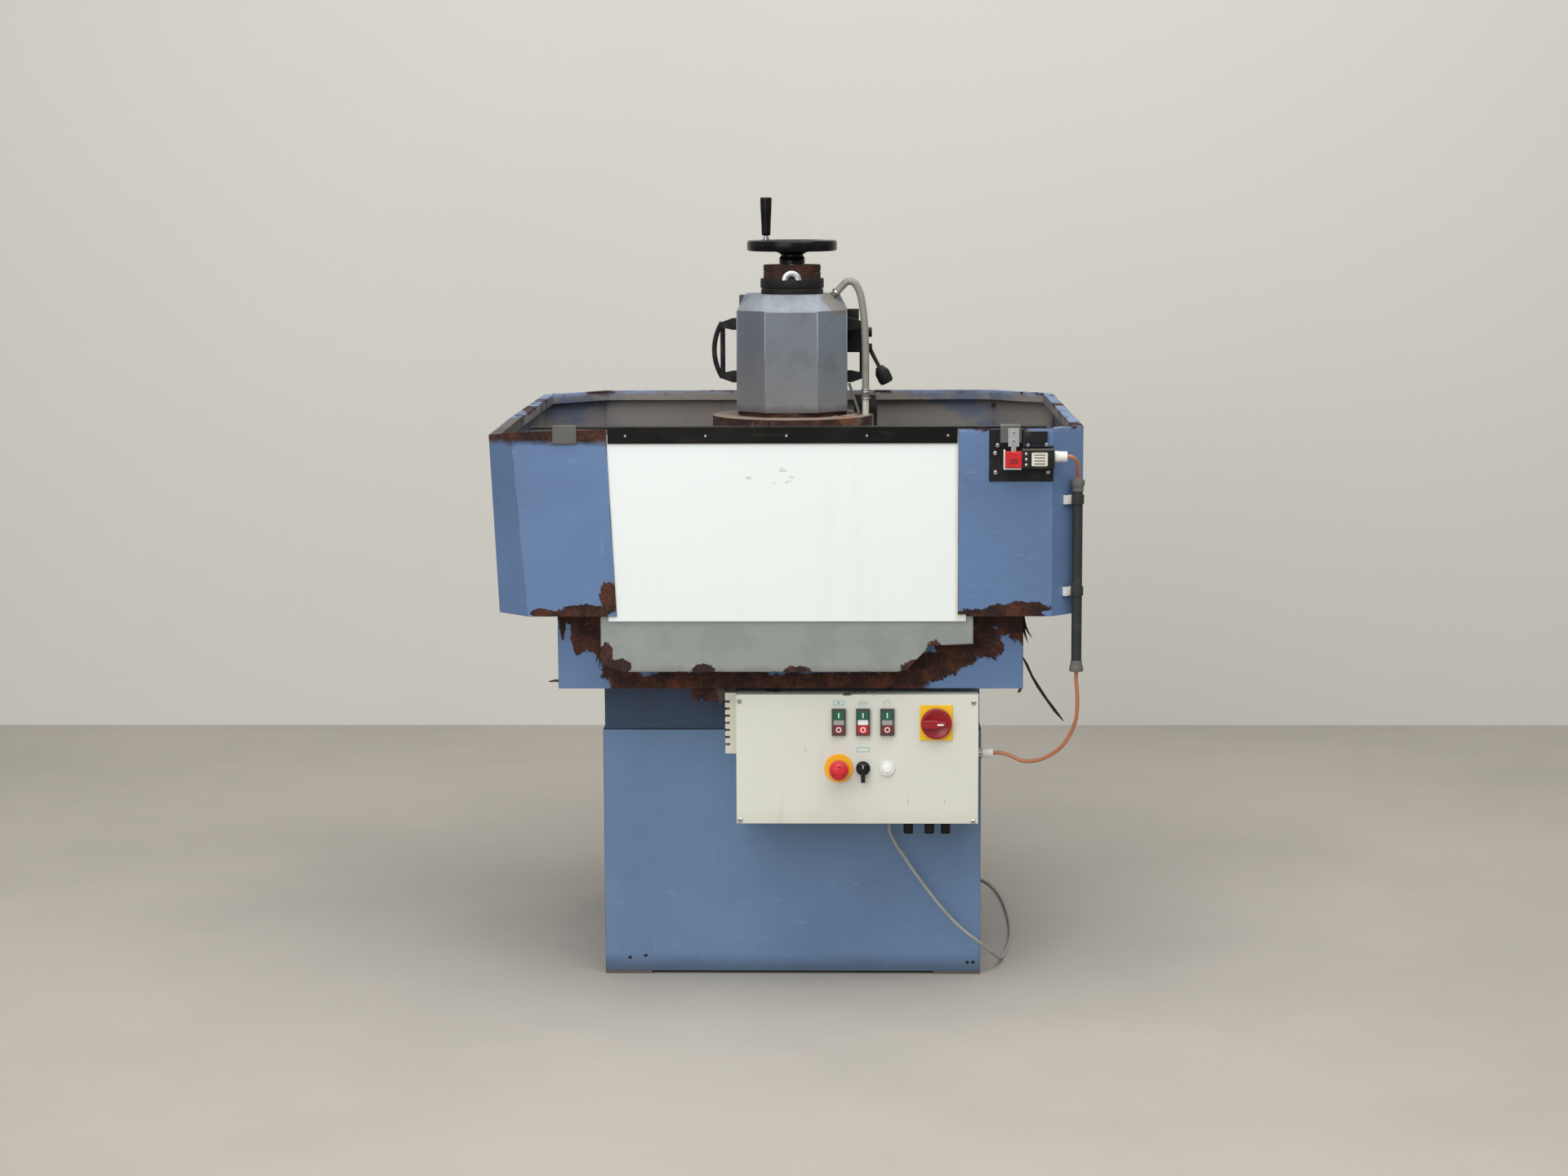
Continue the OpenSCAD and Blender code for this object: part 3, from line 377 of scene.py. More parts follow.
def fill_edge(tree, pin):
    soft = shader(tree, "Bevel", {"Radius": pin["Radius"]}, samples=4).outputs[0]
    flat = shader(tree, "NewGeometry").outputs["Normal"]
    dot = shader(tree, "VectorMath", {0: soft, 1: flat}, operation="DOT_PRODUCT").outputs[1]
    bend = math_of(tree, "SUBTRACT", 1.0, dot)
    broken = math_of(tree, "MULTIPLY_ADD", noise_of(tree, pin["Scale"], 8.0), 2.4)
    broken.node.inputs[2].default_value = -0.5
    return {"Mask": ramp_of(tree, math_of(tree, "MULTIPLY", bend, broken), pin["Low"],
                            pin["High"])}


def fill_band(tree, pin):
    along = shader(tree, "VectorMath", {0: place_of(tree), 1: pin["Axis"]},
                   operation="DOT_PRODUCT").outputs[1]
    wander = math_of(tree, "SUBTRACT", noise_of(tree, pin["Scale"], 8.0), 0.5)
    moved = math_of(tree, "ADD", along, math_of(tree, "MULTIPLY", wander, pin["Ragged"]))
    return {"Mask": ramp_of(tree, moved, pin["From"], pin["To"])}


def fill_spot(tree, pin):
    away = shader(tree, "VectorMath", {0: place_of(tree), 1: pin["Centre"]},
                  operation="SUBTRACT").outputs[0]
    scaled = shader(tree, "VectorMath", {0: away, 1: pin["Size"]},
                    operation="DIVIDE").outputs[0]
    far = shader(tree, "VectorMath", {0: scaled}, operation="LENGTH").outputs[1]
    wander = math_of(tree, "SUBTRACT", noise_of(tree, pin["Scale"], 9.0, rough=0.68), 0.5)
    moved = math_of(tree, "ADD", far, math_of(tree, "MULTIPLY", wander, pin["Ragged"]))
    return {"Mask": ramp_of(tree, moved, 1.04, 0.96)}


def fill_facing(tree, pin):
    flat = shader(tree, "TexCoord").outputs["Normal"]
    dot = shader(tree, "VectorMath", {0: flat, 1: pin["Direction"]},
                 operation="DOT_PRODUCT").outputs[1]
    rough = math_of(tree, "MULTIPLY", math_of(tree, "SUBTRACT", noise_of(tree, 14.0, 7.0), 0.5),
                    pin["Ragged"])
    return {"Mask": ramp_of(tree, math_of(tree, "ADD", dot, rough), pin["Low"], pin["High"])}


def fill_inward(tree, pin):
    flat = shader(tree, "TexCoord").outputs["Normal"]
    away = shader(tree, "VectorMath", {0: place_of(tree), 1: pin["Centre"]},
                  operation="SUBTRACT").outputs[0]
    level = shader(tree, "VectorMath", {0: away, 1: (1, 1, 0)}, operation="MULTIPLY").outputs[0]
    unit = shader(tree, "VectorMath", {0: level}, operation="NORMALIZE").outputs[0]
    dot = shader(tree, "VectorMath", {0: flat, 1: unit}, operation="DOT_PRODUCT").outputs[1]
    return {"Mask": ramp_of(tree, dot, -0.1, -0.3)}


def fill_rust(tree, pin):
    broad = noise_of(tree, pin["Scale"], 10.0, rough=0.7)
    fine = noise_of(tree, math_of(tree, "MULTIPLY", pin["Scale"], 7.0), 6.0)
    value = math_of(tree, "ADD", math_of(tree, "MULTIPLY", broad, 0.7),
                    math_of(tree, "MULTIPLY", fine, 0.3))
    mix = shader(tree, "Mix", {0: ramp_of(tree, value, 0.42, 0.66), 6: pin["Dark"],
                               7: pin["Warm"]}, data_type="RGBA").outputs[2]
    return {"Color": mix, "Height": value}


PLACE = ("Scale", "Float", 20.0)
GROUPS = {
    "grain": ([("Stretch", "Vector", (1, 1, 1)), ("Shift", "Vector", (0, 0, 0)),
               ("Scale", "Float", 8.0), ("Detail", "Float", 6.0), ("Low", "Float", 0.45),
               ("High", "Float", 0.6)], [("Mask", "Float")], fill_grain),
    "edge wear": ([("Radius", "Float", 0.003), PLACE, ("Low", "Float", 0.03),
                   ("High", "Float", 0.16)], [("Mask", "Float")], fill_edge),
    "band": ([("Axis", "Vector", (0, 0, 1)), ("From", "Float", 0.0), ("To", "Float", 1.0),
              ("Ragged", "Float", 0.0), PLACE], [("Mask", "Float")], fill_band),
    "spot": ([("Centre", "Vector", (0, 0, 0)), ("Size", "Vector", (0.1, 0.1, 0.1)),
              ("Ragged", "Float", 0.9), PLACE], [("Mask", "Float")], fill_spot),
    "facing": ([("Direction", "Vector", (0, 0, 1)), ("Low", "Float", 0.4),
                ("High", "Float", 0.9), ("Ragged", "Float", 0.4)], [("Mask", "Float")],
               fill_facing),
    "inward": ([("Centre", "Vector", (0, 0, 0))], [("Mask", "Float")], fill_inward),
    "rust": ([PLACE, ("Dark", "Color", (0.02, 0.01, 0.01, 1)),
              ("Warm", "Color", (0.2, 0.07, 0.03, 1))],
             [("Color", "Color"), ("Height", "Float")], fill_rust),
}


class Finish:
    """One procedural finish: a base with worn, dusty or rusty layers over it."""

    def __init__(self, name, color, rough=0.5, metal=0.0, **constants):
        self.material = bpy.data.materials.new(name)
        self.material.use_nodes = True
        self.tree = self.material.node_tree
        self.tree.nodes.clear()
        self.color = (*color[:3], 1.0)
        self.rough = rough
        self.metal = metal
        self.height = None
        self.constants = constants

    def group(self, name, **pins):
        pins_of, outs, fill = GROUPS[name]
        node = shader(self.tree, "Group")
        node.node_tree = shared(name, pins_of, outs, fill)
        for key, value in pins.items():
            node.inputs[key.capitalize()].default_value = value
        return node.outputs

    def mask(self, name, **pins):
        return self.group(name, **pins)["Mask"]

    def band(self, start, end, **pins):
        """A mask that goes from 0 to 1 between two places along an axis, up unless it is given."""
        return self.mask("band", **{"from": start, "to": end}, **pins)

    def times(self, *masks):
        out = masks[0]
        for mask in masks[1:]:
            out = math_of(self.tree, "MULTIPLY", out, mask)
        return out

    def most(self, *masks):
        out = masks[0]
        for mask in masks[1:]:
            out = math_of(self.tree, "MAXIMUM", out, mask)
        return out

    def lay(self, mask, color=None, rough=None, metal=None):
        """Puts a colour, roughness or metal over what is there, where the mask is."""
        if color is not None:
            if not isinstance(color, bpy.types.NodeSocket):
                color = (*color[:3], 1.0)
            self.color = shader(self.tree, "Mix", {0: mask, 6: self.color, 7: color},
                                data_type="RGBA").outputs[2]
        for key, value in (("rough", rough), ("metal", metal)):
            if value is not None:
                setattr(self, key, shader(self.tree, "Mix", {0: mask, 2: getattr(self, key),
                                                             3: value}).outputs[0])
        return self

    def rise(self, mask, amount):
        """Adds to the surface's fine height, in metres."""
        more = math_of(self.tree, "MULTIPLY", mask, amount)
        self.height = more if self.height is None else math_of(self.tree, "ADD", self.height,
                                                               more)
        return self

    def rusty(self, mask, scale=18.0, depth=0.0012):
        """Scaly rust where the mask is."""
        colors = bpy.context.scene.grinder_colors
        out = self.group("rust", scale=scale, dark=(*colors.rust_dark, 1),
                         warm=(*colors.rust_warm, 1))
        self.lay(mask, out["Color"], 0.92, 0.0)
        return self.rise(self.times(mask, out["Height"]), depth)

    def done(self, key):
        pins = {"Base Color": self.color, "Roughness": self.rough, "Metallic": self.metal}
        pins.update({k.replace("_", " "): v for k, v in self.constants.items()})
        if self.height is not None:
            bump = shader(self.tree, "Bump", {"Strength": 1.0, "Distance": 1.0,
                                              "Height": self.height})
            pins["Normal"] = bump.outputs[0]
        principled = shader(self.tree, "BsdfPrincipled", pins)
        out = shader(self.tree, "OutputMaterial")
        self.tree.links.new(principled.outputs[0], out.inputs[0])
        FINISH[key] = self.material


FINISH = {}


# ---- rows of small repeated things -----------------------------------------------------------

def grown(name, pins, fill):
    """A geometry node group made once. It ends in Realize Instances and Set Material."""
    if name in bpy.data.node_groups:
        return bpy.data.node_groups[name]
    tree = bpy.data.node_groups.new(name, "GeometryNodeTree")
    tree.interface.new_socket(name="Geometry", in_out="INPUT", socket_type="NodeSocketGeometry")
    for label, kind, value in pins:
        socket = tree.interface.new_socket(name=label, in_out="INPUT",
                                           socket_type="NodeSocket" + kind)
        if value is not None:
            socket.default_value = value
    tree.interface.new_socket(name="Material", in_out="INPUT", socket_type="NodeSocketMaterial")
    tree.interface.new_socket(name="Geometry", in_out="OUTPUT",
                              socket_type="NodeSocketGeometry")
    source = tree.nodes.new("NodeGroupInput").outputs
    real = add(tree, "GeometryNodeRealizeInstances", {"Geometry": fill(tree, source)})
    coated = add(tree, "GeometryNodeSetMaterial", {"Geometry": real.outputs[0],
                                                   "Material": source["Material"]})
    tree.links.new(coated.outputs[0], tree.nodes.new("NodeGroupOutput").inputs[0])
    return tree


def cone_of(tree, sides, low, top, height):
    return add(tree, "GeometryNodeMeshCone", {"Vertices": sides, "Radius Bottom": low,
                                              "Radius Top": top, "Depth": height}).outputs[0]


def fill_heads(tree, pin):
    rim_h = math_of(tree, "MULTIPLY", pin["Height"], 0.5)
    crown = math_of(tree, "MULTIPLY", pin["Radius"], pin["Crown"])
    rim = cone_of(tree, pin["Sides"], pin["Radius"], pin["Radius"], rim_h)
    top = cone_of(tree, pin["Sides"], pin["Radius"], crown, rim_h)
    up = shader(tree, "CombineXYZ", {"Z": rim_h}).outputs[0]
    moved = add(tree, "GeometryNodeTransform", {"Geometry": top, "Translation": up}).outputs[0]
    both = tree.nodes.new("GeometryNodeJoinGeometry")
    tree.links.new(moved, both.inputs[0])
    tree.links.new(rim, both.inputs[0])
    return add(tree, "GeometryNodeInstanceOnPoints", {
        "Points": pin["Geometry"], "Instance": both.outputs[0],
        "Rotation": pin["Turn"]}).outputs[0]


def fill_ribs(tree, pin):
    line = add(tree, "GeometryNodeMeshLine", {"Count": pin["Count"], "Start Location": pin["Start"],
                                              "Offset": pin["Pitch"]}, mode="OFFSET")
    rib = add(tree, "GeometryNodeMeshCube", {"Size": pin["Size"]})
    return add(tree, "GeometryNodeInstanceOnPoints", {"Points": line.outputs[0],
                                                      "Instance": rib.outputs[0]}).outputs[0]


def fill_flutes(tree, pin):
    ring = add(tree, "GeometryNodeMeshCircle", {"Vertices": pin["Count"],
                                                "Radius": pin["Radius"]})
    place = tree.nodes.new("GeometryNodeInputPosition").outputs[0]
    turn = add(tree, "FunctionNodeAlignRotationToVector", {"Vector": place}, axis="X")
    rib = add(tree, "GeometryNodeMeshCube", {"Size": pin["Size"]})
    bars = add(tree, "GeometryNodeInstanceOnPoints", {
        "Points": ring.outputs[0], "Instance": rib.outputs[0], "Rotation": turn.outputs[0]})
    real = add(tree, "GeometryNodeRealizeInstances", {"Geometry": bars.outputs[0]})
    return add(tree, "GeometryNodeTransform", {"Geometry": real.outputs[0],
                                               "Translation": pin["Centre"],
                                               "Rotation": pin["Turn"]}).outputs[0]


TREES = {
    "Row of heads": ([("Radius", "Float", 0.004), ("Height", "Float", 0.0025),
                      ("Crown", "Float", 0.62), ("Sides", "Int", 18),
                      ("Turn", "Rotation", None)], fill_heads),
    "Row of ribs": ([("Count", "Int", 8), ("Start", "Vector", None), ("Pitch", "Vector", None),
                     ("Size", "Vector", None)], fill_ribs),
    "Ring of flutes": ([("Count", "Int", 16), ("Radius", "Float", 0.02),
                        ("Size", "Vector", None), ("Centre", "Vector", None),
                        ("Turn", "Rotation", None)], fill_flutes),
}


def grow(kind, name, body, slot, finish, points=(), replaces=(), **pins):
    """A repeated shape made with one of the trees, turned into a plain mesh."""
    tree = grown(kind, *TREES[kind])
    mesh = bpy.data.meshes.new(name)
    mesh.from_pydata([tuple(p) for p in points], [], [])
    piece = bpy.data.objects.new(name, mesh)
    bpy.context.scene.collection.objects.link(piece)
    repeat = piece.modifiers.new(kind, "NODES")
    repeat.node_group = tree
    pins["material"] = FINISH[finish]
    for socket in tree.interface.items_tree:
        key = socket.name.lower()
        if socket.in_out == "INPUT" and key in pins:
            repeat[socket.identifier] = pins[key]
    depsgraph = bpy.context.evaluated_depsgraph_get()
    result = bpy.data.meshes.new_from_object(piece.evaluated_get(depsgraph))
    piece.modifiers.clear()
    piece.data = result
    result.name = name
    if not result.polygons:
        raise RuntimeError(name + " came out empty")
    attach(piece, body)
    if replaces:
        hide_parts(*replaces)
    return piece


def heads(name, body, slot, finish, points, axis, radius, height, sides=18, crown=0.62,
          replaces=()):
    """Screw, rivet or bolt heads standing on a surface, all turned one way."""
    return grow("Row of heads", name, body, slot, finish, points, replaces, radius=radius,
                height=height, sides=sides, crown=crown, turn=tuple(TURNS[axis]))


def screws(name, body, slot, points, axis, radius=None, replaces=(), finish="zinc"):
    """Screw heads, each with a near-black disc in its socket as painted shade."""
    radius = radius or bpy.context.scene.grinder_sizes.screw_r
    out = -Vector(seat((0, 0, 0), axis).col[2][:3])
    heads(name, body, slot, finish, points, axis, radius, radius * 0.62, replaces=replaces)
    tops = [Vector(p) - out * radius * 0.6 for p in points]
    # near-black discs on the heads: painted shade standing in for the socket recesses
    heads(name + "_sockets", body, slot, "painted shade gap", tops, axis, radius * 0.34, radius * 0.08,
          6, 0.96)


# ---- finishes --------------------------------------------------------------------------------

HOOD_CENTRE = (0, -0.01, 0)


def worn_metal(finish, dirt=0.35):
    """Fine scratches, thumbed dirt and a soft grain, shared by the plain metals."""
    finish.lay(finish.times(finish.mask("grain", scale=5.0, low=0.45, high=0.75), dirt),
               tint(60, 50, 42), 0.75)
    finish.rise(finish.mask("grain", scale=240.0, low=0.2, high=0.8), 0.00006)
    return finish


def enamel(name, color, rough=0.42):
    """Sprayed enamel with an orange-peel skin and thin scratches."""
    paint = Finish(name, color, rough, Specular_IOR_Level=0.4)
    darker = [v * 0.80 for v in color]
    lighter = [min(1.0, v * 1.22 + 0.02) for v in color]
    paint.lay(paint.mask("grain", scale=2.3, low=0.35, high=0.75), darker)
    paint.lay(paint.times(paint.mask("grain", scale=60.0, low=0.62, high=0.72,
                                     stretch=(0.35, 0.35, 1.6), detail=3.0), 0.35), lighter, 0.6)
    scratch = paint.times(
        paint.mask("grain", scale=22.0, low=0.66, high=0.69, stretch=(4.0, 4.0, 0.28)),
        paint.mask("grain", scale=3.0, low=0.5, high=0.62, shift=(3, 1, 7)), 0.22)
    paint.lay(scratch, [v * 1.5 + 0.05 for v in color], 0.6)
    paint.rise(paint.mask("grain", scale=420.0, low=0.1, high=0.9, detail=2.0), 0.00007)
    paint.rise(paint.mask("grain", scale=9.0, low=0.1, high=0.9, detail=1.0), 0.0006)
    return paint


def mix_paints():
    """Blue enamel of the cabinet, frame, pan and hood, with their rust; the cabinet's copy is
    lightened as painted light and the frame's darkened as painted shade.
    """
    colors = bpy.context.scene.grinder_colors
    blue, frame_shaded_blue = tuple(colors.blue), tuple(colors.frame_shaded_blue)

    # cabinet: the blue enamel lightened as painted light from the floor, with chips near the floor
    # and along the corners
    paint = enamel("cabinet enamel with painted light", tuple(colors.cabinet))
    foot = paint.band(0.05, 0.008, ragged=0.03, scale=9.0)
    paint.lay(paint.times(foot, 0.55), tint(50, 48, 50), 0.7)
    paint.rusty(paint.times(paint.mask("edge wear", radius=0.004, low=0.05, high=0.14), 0.8))
    for x, z in ((-0.347, 0.035), (-0.314, 0.039), (0.373, 0.025), (0.385, 0.026)):
        paint.rusty(paint.mask("spot", centre=(x, -0.4, z), size=(0.004, 0.02, 0.0035),
                               ragged=1.4, scale=110.0), 60.0)
    paint.done("cabinet blue with painted light")

    # frame: the enamel darkened as painted shade under the pan, with drips and a band of rust at
    # its top
    paint = enamel("frame enamel with painted shade", frame_shaded_blue)
    drip = paint.times(paint.mask("grain", scale=14.0, low=0.5, high=0.66,
                                  stretch=(1.6, 1.6, 0.12)), 0.5)
    paint.lay(drip, tint(52, 62, 84), 0.6)
    paint.rusty(paint.band(0.622, 0.645, ragged=0.035, scale=16.0))
    paint.rusty(paint.mask("edge wear", radius=0.004, low=0.05, high=0.12))
    paint.done("frame blue with painted shade")

    # drip pan and hood: scale where the sheet has rotted, slurry on the inside
    paint = enamel("hood enamel", blue)
    inside = paint.mask("inward", centre=HOOD_CENTRE)
    paint.lay(inside, tint(98, 106, 126), 0.75)
    slurry = paint.mask("grain", scale=4.2, low=0.40, high=0.52, stretch=(1, 1, 1.7),
                        shift=(2, 5, 1))
    paint.lay(paint.times(inside, slurry, 0.9), tint(136, 128, 120), 0.9)
    tide = paint.band(0.98, 0.82, ragged=0.2, scale=5.0)
    paint.lay(paint.times(inside, tide, 0.85), tint(104, 98, 92), 0.95)
    paint.rusty(paint.times(inside, paint.mask("grain", scale=6.0, low=0.58, high=0.64,
                                               shift=(9, 4, 2)), 0.85))
    ledges = paint.times(paint.mask("facing", low=0.5, high=0.8),
                         paint.band(1.10, 1.00))
    paint.lay(paint.times(ledges, 0.9), tint(112, 104, 96), 0.95)
    rim = paint.band(1.172, 1.180, ragged=0.012, scale=26.0)
    eaten = paint.mask("grain", scale=9.0, low=0.50, high=0.545, shift=(6, 1, 4))
    # painted highlight: the top few millimetres of the rim in a lighter blue, broken by grain,
    # where light catches the fold; rust is laid on the same band below
    paint.lay(paint.times(rim, paint.mask("grain", scale=5.0, low=0.4, high=0.7)),
              tint(128, 150, 184), 0.5)
    paint.rusty(paint.times(rim, eaten), 24.0)
    paint.rusty(paint.times(paint.mask("edge wear", radius=0.004, low=0.04, high=0.10),
                            paint.mask("grain", scale=12.0, low=0.47, high=0.56)), 24.0)
    front = paint.band(-0.515, -0.528, axis=(0, 1, 0))
    rot = None
    for x, z, w, h in RUST_PATCHES:
        spot = paint.mask("spot", centre=(x, -0.565, z), size=(w, 0.2, h), ragged=2.3,
                          scale=21.0)
        rot = spot if rot is None else paint.most(rot, spot)
    foot = paint.times(
        paint.band(0.681, 0.672, ragged=0.055, scale=22.0),
        paint.band(-0.376, -0.368, axis=(1, 0, 0), ragged=0.05),
        paint.band(0.285, 0.272, axis=(1, 0, 0), ragged=0.07))
    islands = paint.mask("grain", scale=15.0, low=0.30, high=0.36, shift=(7, 7, 7), detail=9.0)
    left_rim = paint.times(
        paint.band(1.146, 1.162, ragged=0.03, scale=20.0),
        paint.band(-0.31, -0.36, axis=(1, 0, 0), ragged=0.05))
    paint.rusty(paint.times(front, paint.most(rot, foot, left_rim), islands), 24.0, 0.004)
    hem = paint.most(paint.band(0.814, 0.803, ragged=0.035, scale=12.0),
                     paint.band(0.658, 0.646, ragged=0.030, scale=12.0))
    sides = paint.band(-0.50, -0.46, axis=(0, 1, 0), ragged=0.03)
    eaten_hem = paint.mask("grain", scale=5.0, low=0.49, high=0.53, shift=(3, 8, 1), detail=9.0)
    paint.rusty(paint.times(hem, sides, eaten_hem), 24.0, 0.003)
    paint.done("hood blue")


RUST_PATCHES = (
    (-0.425, 0.792, 0.060, 0.018), (-0.392, 0.750, 0.050, 0.034), (-0.366, 0.700, 0.036, 0.044),
    (-0.505, 0.806, 0.024, 0.010), (-0.462, 0.800, 0.046, 0.010), (-0.366, 0.838, 0.024, 0.030),
    (-0.405, 0.812, 0.055, 0.012), (-0.438, 0.755, 0.014, 0.044), (0.232, 0.668, 0.050, 0.020),
    (0.290, 0.690, 0.054, 0.030), (0.345, 0.722, 0.050, 0.036), (0.400, 0.738, 0.040, 0.040),
    (0.430, 0.800, 0.085, 0.022), (0.470, 0.775, 0.046, 0.040), (0.385, 0.790, 0.050, 0.028),
    (0.488, 0.818, 0.046, 0.012), (-0.330, 1.150, 0.020, 0.030), (-0.347, 1.166, 0.030, 0.016),
    (-0.470, 0.775, 0.007, 0.036),
)


def mix_metals():
    """Galvanised and plain metals, worn black paint and rusted steel."""
    sheet = Finish("galvanised sheet", tint(147, 152, 149), 0.5, 0.3)
    sheet.lay(sheet.mask("grain", scale=16.0, low=0.4, high=0.6, detail=2.0),
              tint(140, 146, 143), 0.46)
    sheet.lay(sheet.times(sheet.mask("grain", scale=6.0, low=0.5, high=0.8,
                                     stretch=(1, 1, 2.4)), 0.35), tint(170, 170, 160), 0.7)
    sheet.rusty(sheet.times(sheet.mask("edge wear", radius=0.006, low=0.02, high=0.2, scale=30.0),
                            0.7))
    sheet.lay(sheet.times(sheet.band(0.70, 0.68, ragged=0.02), 0.45),
              tint(112, 104, 92), 0.8)
    sheet.rusty(sheet.band(0.684, 0.680, ragged=0.022, scale=24.0),
                26.0, 0.002)
    for x, z, w, h in ((-0.376, 0.712, 0.014, 0.034), (-0.350, 0.692, 0.024, 0.018),
                       (-0.179, 0.684, 0.024, 0.014), (0.014, 0.684, 0.028, 0.013),
                       (0.262, 0.690, 0.030, 0.018), (0.295, 0.712, 0.020, 0.030)):
        sheet.rusty(sheet.mask("spot", centre=(x, -0.585, z), size=(w, 0.1, h), ragged=2.2,
                               scale=34.0), 26.0, 0.002)
    sheet.rise(sheet.mask("grain", scale=5.0, low=0.1, high=0.9, detail=1.0), 0.0008)
    sheet.done("galvanised")

    for key, color, rough, metal, dirt in (
            ("zinc", tint(196, 198, 196), 0.34, 0.9, 0.5),
            ("machined", tint(186, 188, 190), 0.3, 1.0, 0.3),
            ("cast iron", tint(88, 90, 94), 0.62, 0.45, 0.5),
            ("table iron", tint(128, 122, 116), 0.5, 0.6, 0.6),
            ("mill steel", tint(104, 98, 92), 0.6, 0.5, 0.7),
            ("abrasive", tint(150, 128, 82), 0.85, 0.1, 0.5)):
        metal_finish = worn_metal(Finish(key + " finish", color, rough, metal), dirt)
        if key in ("cast iron", "table iron", "mill steel"):
            metal_finish.rusty(metal_finish.times(metal_finish.mask(
                "grain", scale=7.0, low=0.54, high=0.68, shift=(1, 2, 3)), 0.8))
            metal_finish.rise(metal_finish.mask("grain", scale=70.0, low=0.2, high=0.8), 0.0003)
        metal_finish.done(key)

    worn = Finish("black paint over steel", tint(15, 15, 14), 0.45, Specular_IOR_Level=0.12)
    worn.lay(worn.mask("grain", scale=8.0, low=0.45, high=0.7), tint(26, 25, 24), 0.55)
    worn.lay(worn.times(worn.mask("edge wear", radius=0.002, low=0.05, high=0.25, scale=40.0),
                        0.6), tint(128, 126, 120), 0.45, 0.4)
    worn.lay(worn.times(worn.mask("grain", scale=30.0, low=0.58, high=0.66,
                                  stretch=(0.3, 1, 3)), 0.3), tint(60, 56, 50), 0.7)
    worn.rise(worn.mask("grain", scale=200.0, low=0.2, high=0.8), 0.00008)
    worn.done("worn black")

    bracket = worn_metal(Finish("grey bracket paint", tint(92, 92, 90), 0.6, 0.2), 0.5)
    bracket.rusty(bracket.mask("edge wear", radius=0.004, low=0.04, high=0.16))
    bracket.done("bracket grey")

    ring = Finish("rusted steel", tint(58, 38, 31), 0.9)
    ring.rusty(ring.mask("grain", scale=12.0, low=0.3, high=0.5), 26.0, 0.0022)
    flake = ring.mask("grain", scale=15.0, low=0.56, high=0.62, shift=(4, 4, 1))
    ring.lay(ring.times(flake, 0.7), tint(96, 92, 90), 0.8)
    dust = ring.mask("facing", low=0.45, high=0.9, ragged=0.7)
    ring.lay(ring.times(dust, 0.75), tint(150, 136, 122), 0.95)
    ring.lay(ring.times(ring.mask("spot", centre=(0.125, -0.07, 1.164),
                                  size=(0.035, 0.03, 0.02), ragged=1.6, scale=34.0), 0.5),
             tint(142, 92, 62), 0.95)
    ring.rise(ring.mask("grain", scale=60.0, low=0.3, high=0.7), 0.0006)
    ring.done("guard rust")

    cap = Finish("rusted collar", tint(50, 36, 31), 0.85)
    cap.rusty(cap.mask("grain", scale=20.0, low=0.35, high=0.5), 40.0, 0.001)
    cap.lay(cap.times(cap.mask("facing", low=0.4, high=0.9, ragged=0.5), 0.5),
            tint(92, 74, 62), 0.9)
    cap.done("collar rust")


def mix_head():
    """Grey paint of the head's casting, with painted light and shade on its facets: lighter towards
    the east, cooler and darker towards the west, and a lighter roof that is partly dust and partly
    painted light.
    """
    colors = bpy.context.scene.grinder_colors
    skin = Finish("head casting paint", colors.head, 0.46, 0.15)
    skin.lay(skin.mask("grain", scale=3.2, low=0.35, high=0.72), tint(116, 119, 124), 0.5)
    # painted shade: the west-facing facets in a cooler, darker grey, as they lie away from the
    # light
    west_facet_shade = skin.mask("facing", direction=(-0.72, -0.69, 0), low=0.55, high=0.85, ragged=0.15)
    skin.lay(skin.times(west_facet_shade, 0.75), tint(103, 107, 117))
    # painted light: the east-facing facets in a lighter blue-grey, as they face the light
    east_facet_light = skin.mask("facing", direction=(0.72, -0.69, 0), low=0.55, high=0.85, ragged=0.15)
    skin.lay(skin.times(east_facet_light, 0.7), tint(118, 129, 138))
    # upward faces lighter: partly dust, partly painted light from above
    roof = skin.mask("facing", low=0.3, high=0.45, ragged=0.1)
    skin.lay(skin.times(roof, 0.85), tint(144, 151, 160), 0.5)
    runs = skin.mask("grain", scale=13.0, low=0.52, high=0.66, stretch=(1.5, 1.5, 0.16))
    skin.lay(skin.times(runs, 0.3), tint(88, 90, 97), 0.6)
    stains = skin.mask("grain", scale=8.0, low=0.54, high=0.66, shift=(5, 2, 8), detail=9.0)
    skin.lay(skin.times(stains, 0.3), tint(84, 84, 90), 0.7)
    skin.lay(skin.times(skin.band(1.34, 1.20, ragged=0.09,
                                  scale=7.0), 0.5), tint(128, 125, 122), 0.7)
    skin.lay(skin.times(skin.band(1.195, 1.178, ragged=0.03), 0.6),
             tint(78, 70, 62), 0.8)
    skin.lay(skin.times(skin.mask("edge wear", radius=0.004, low=0.03, high=0.14, scale=30.0),
                        0.3), tint(160, 166, 174), 0.45, 0.3)
    drips = skin.times(skin.mask("spot", centre=(0.10, -0.01, 1.418), size=(0.05, 0.05, 0.03),
                                 ragged=1.5), 0.6)
    skin.lay(drips, tint(120, 104, 88), 0.8)
    skin.rise(skin.mask("grain", scale=90.0, low=0.2, high=0.8), 0.00025)
    skin.rise(skin.mask("grain", scale=12.0, low=0.1, high=0.9, detail=2.0), 0.0008)
    skin.done("head grey")


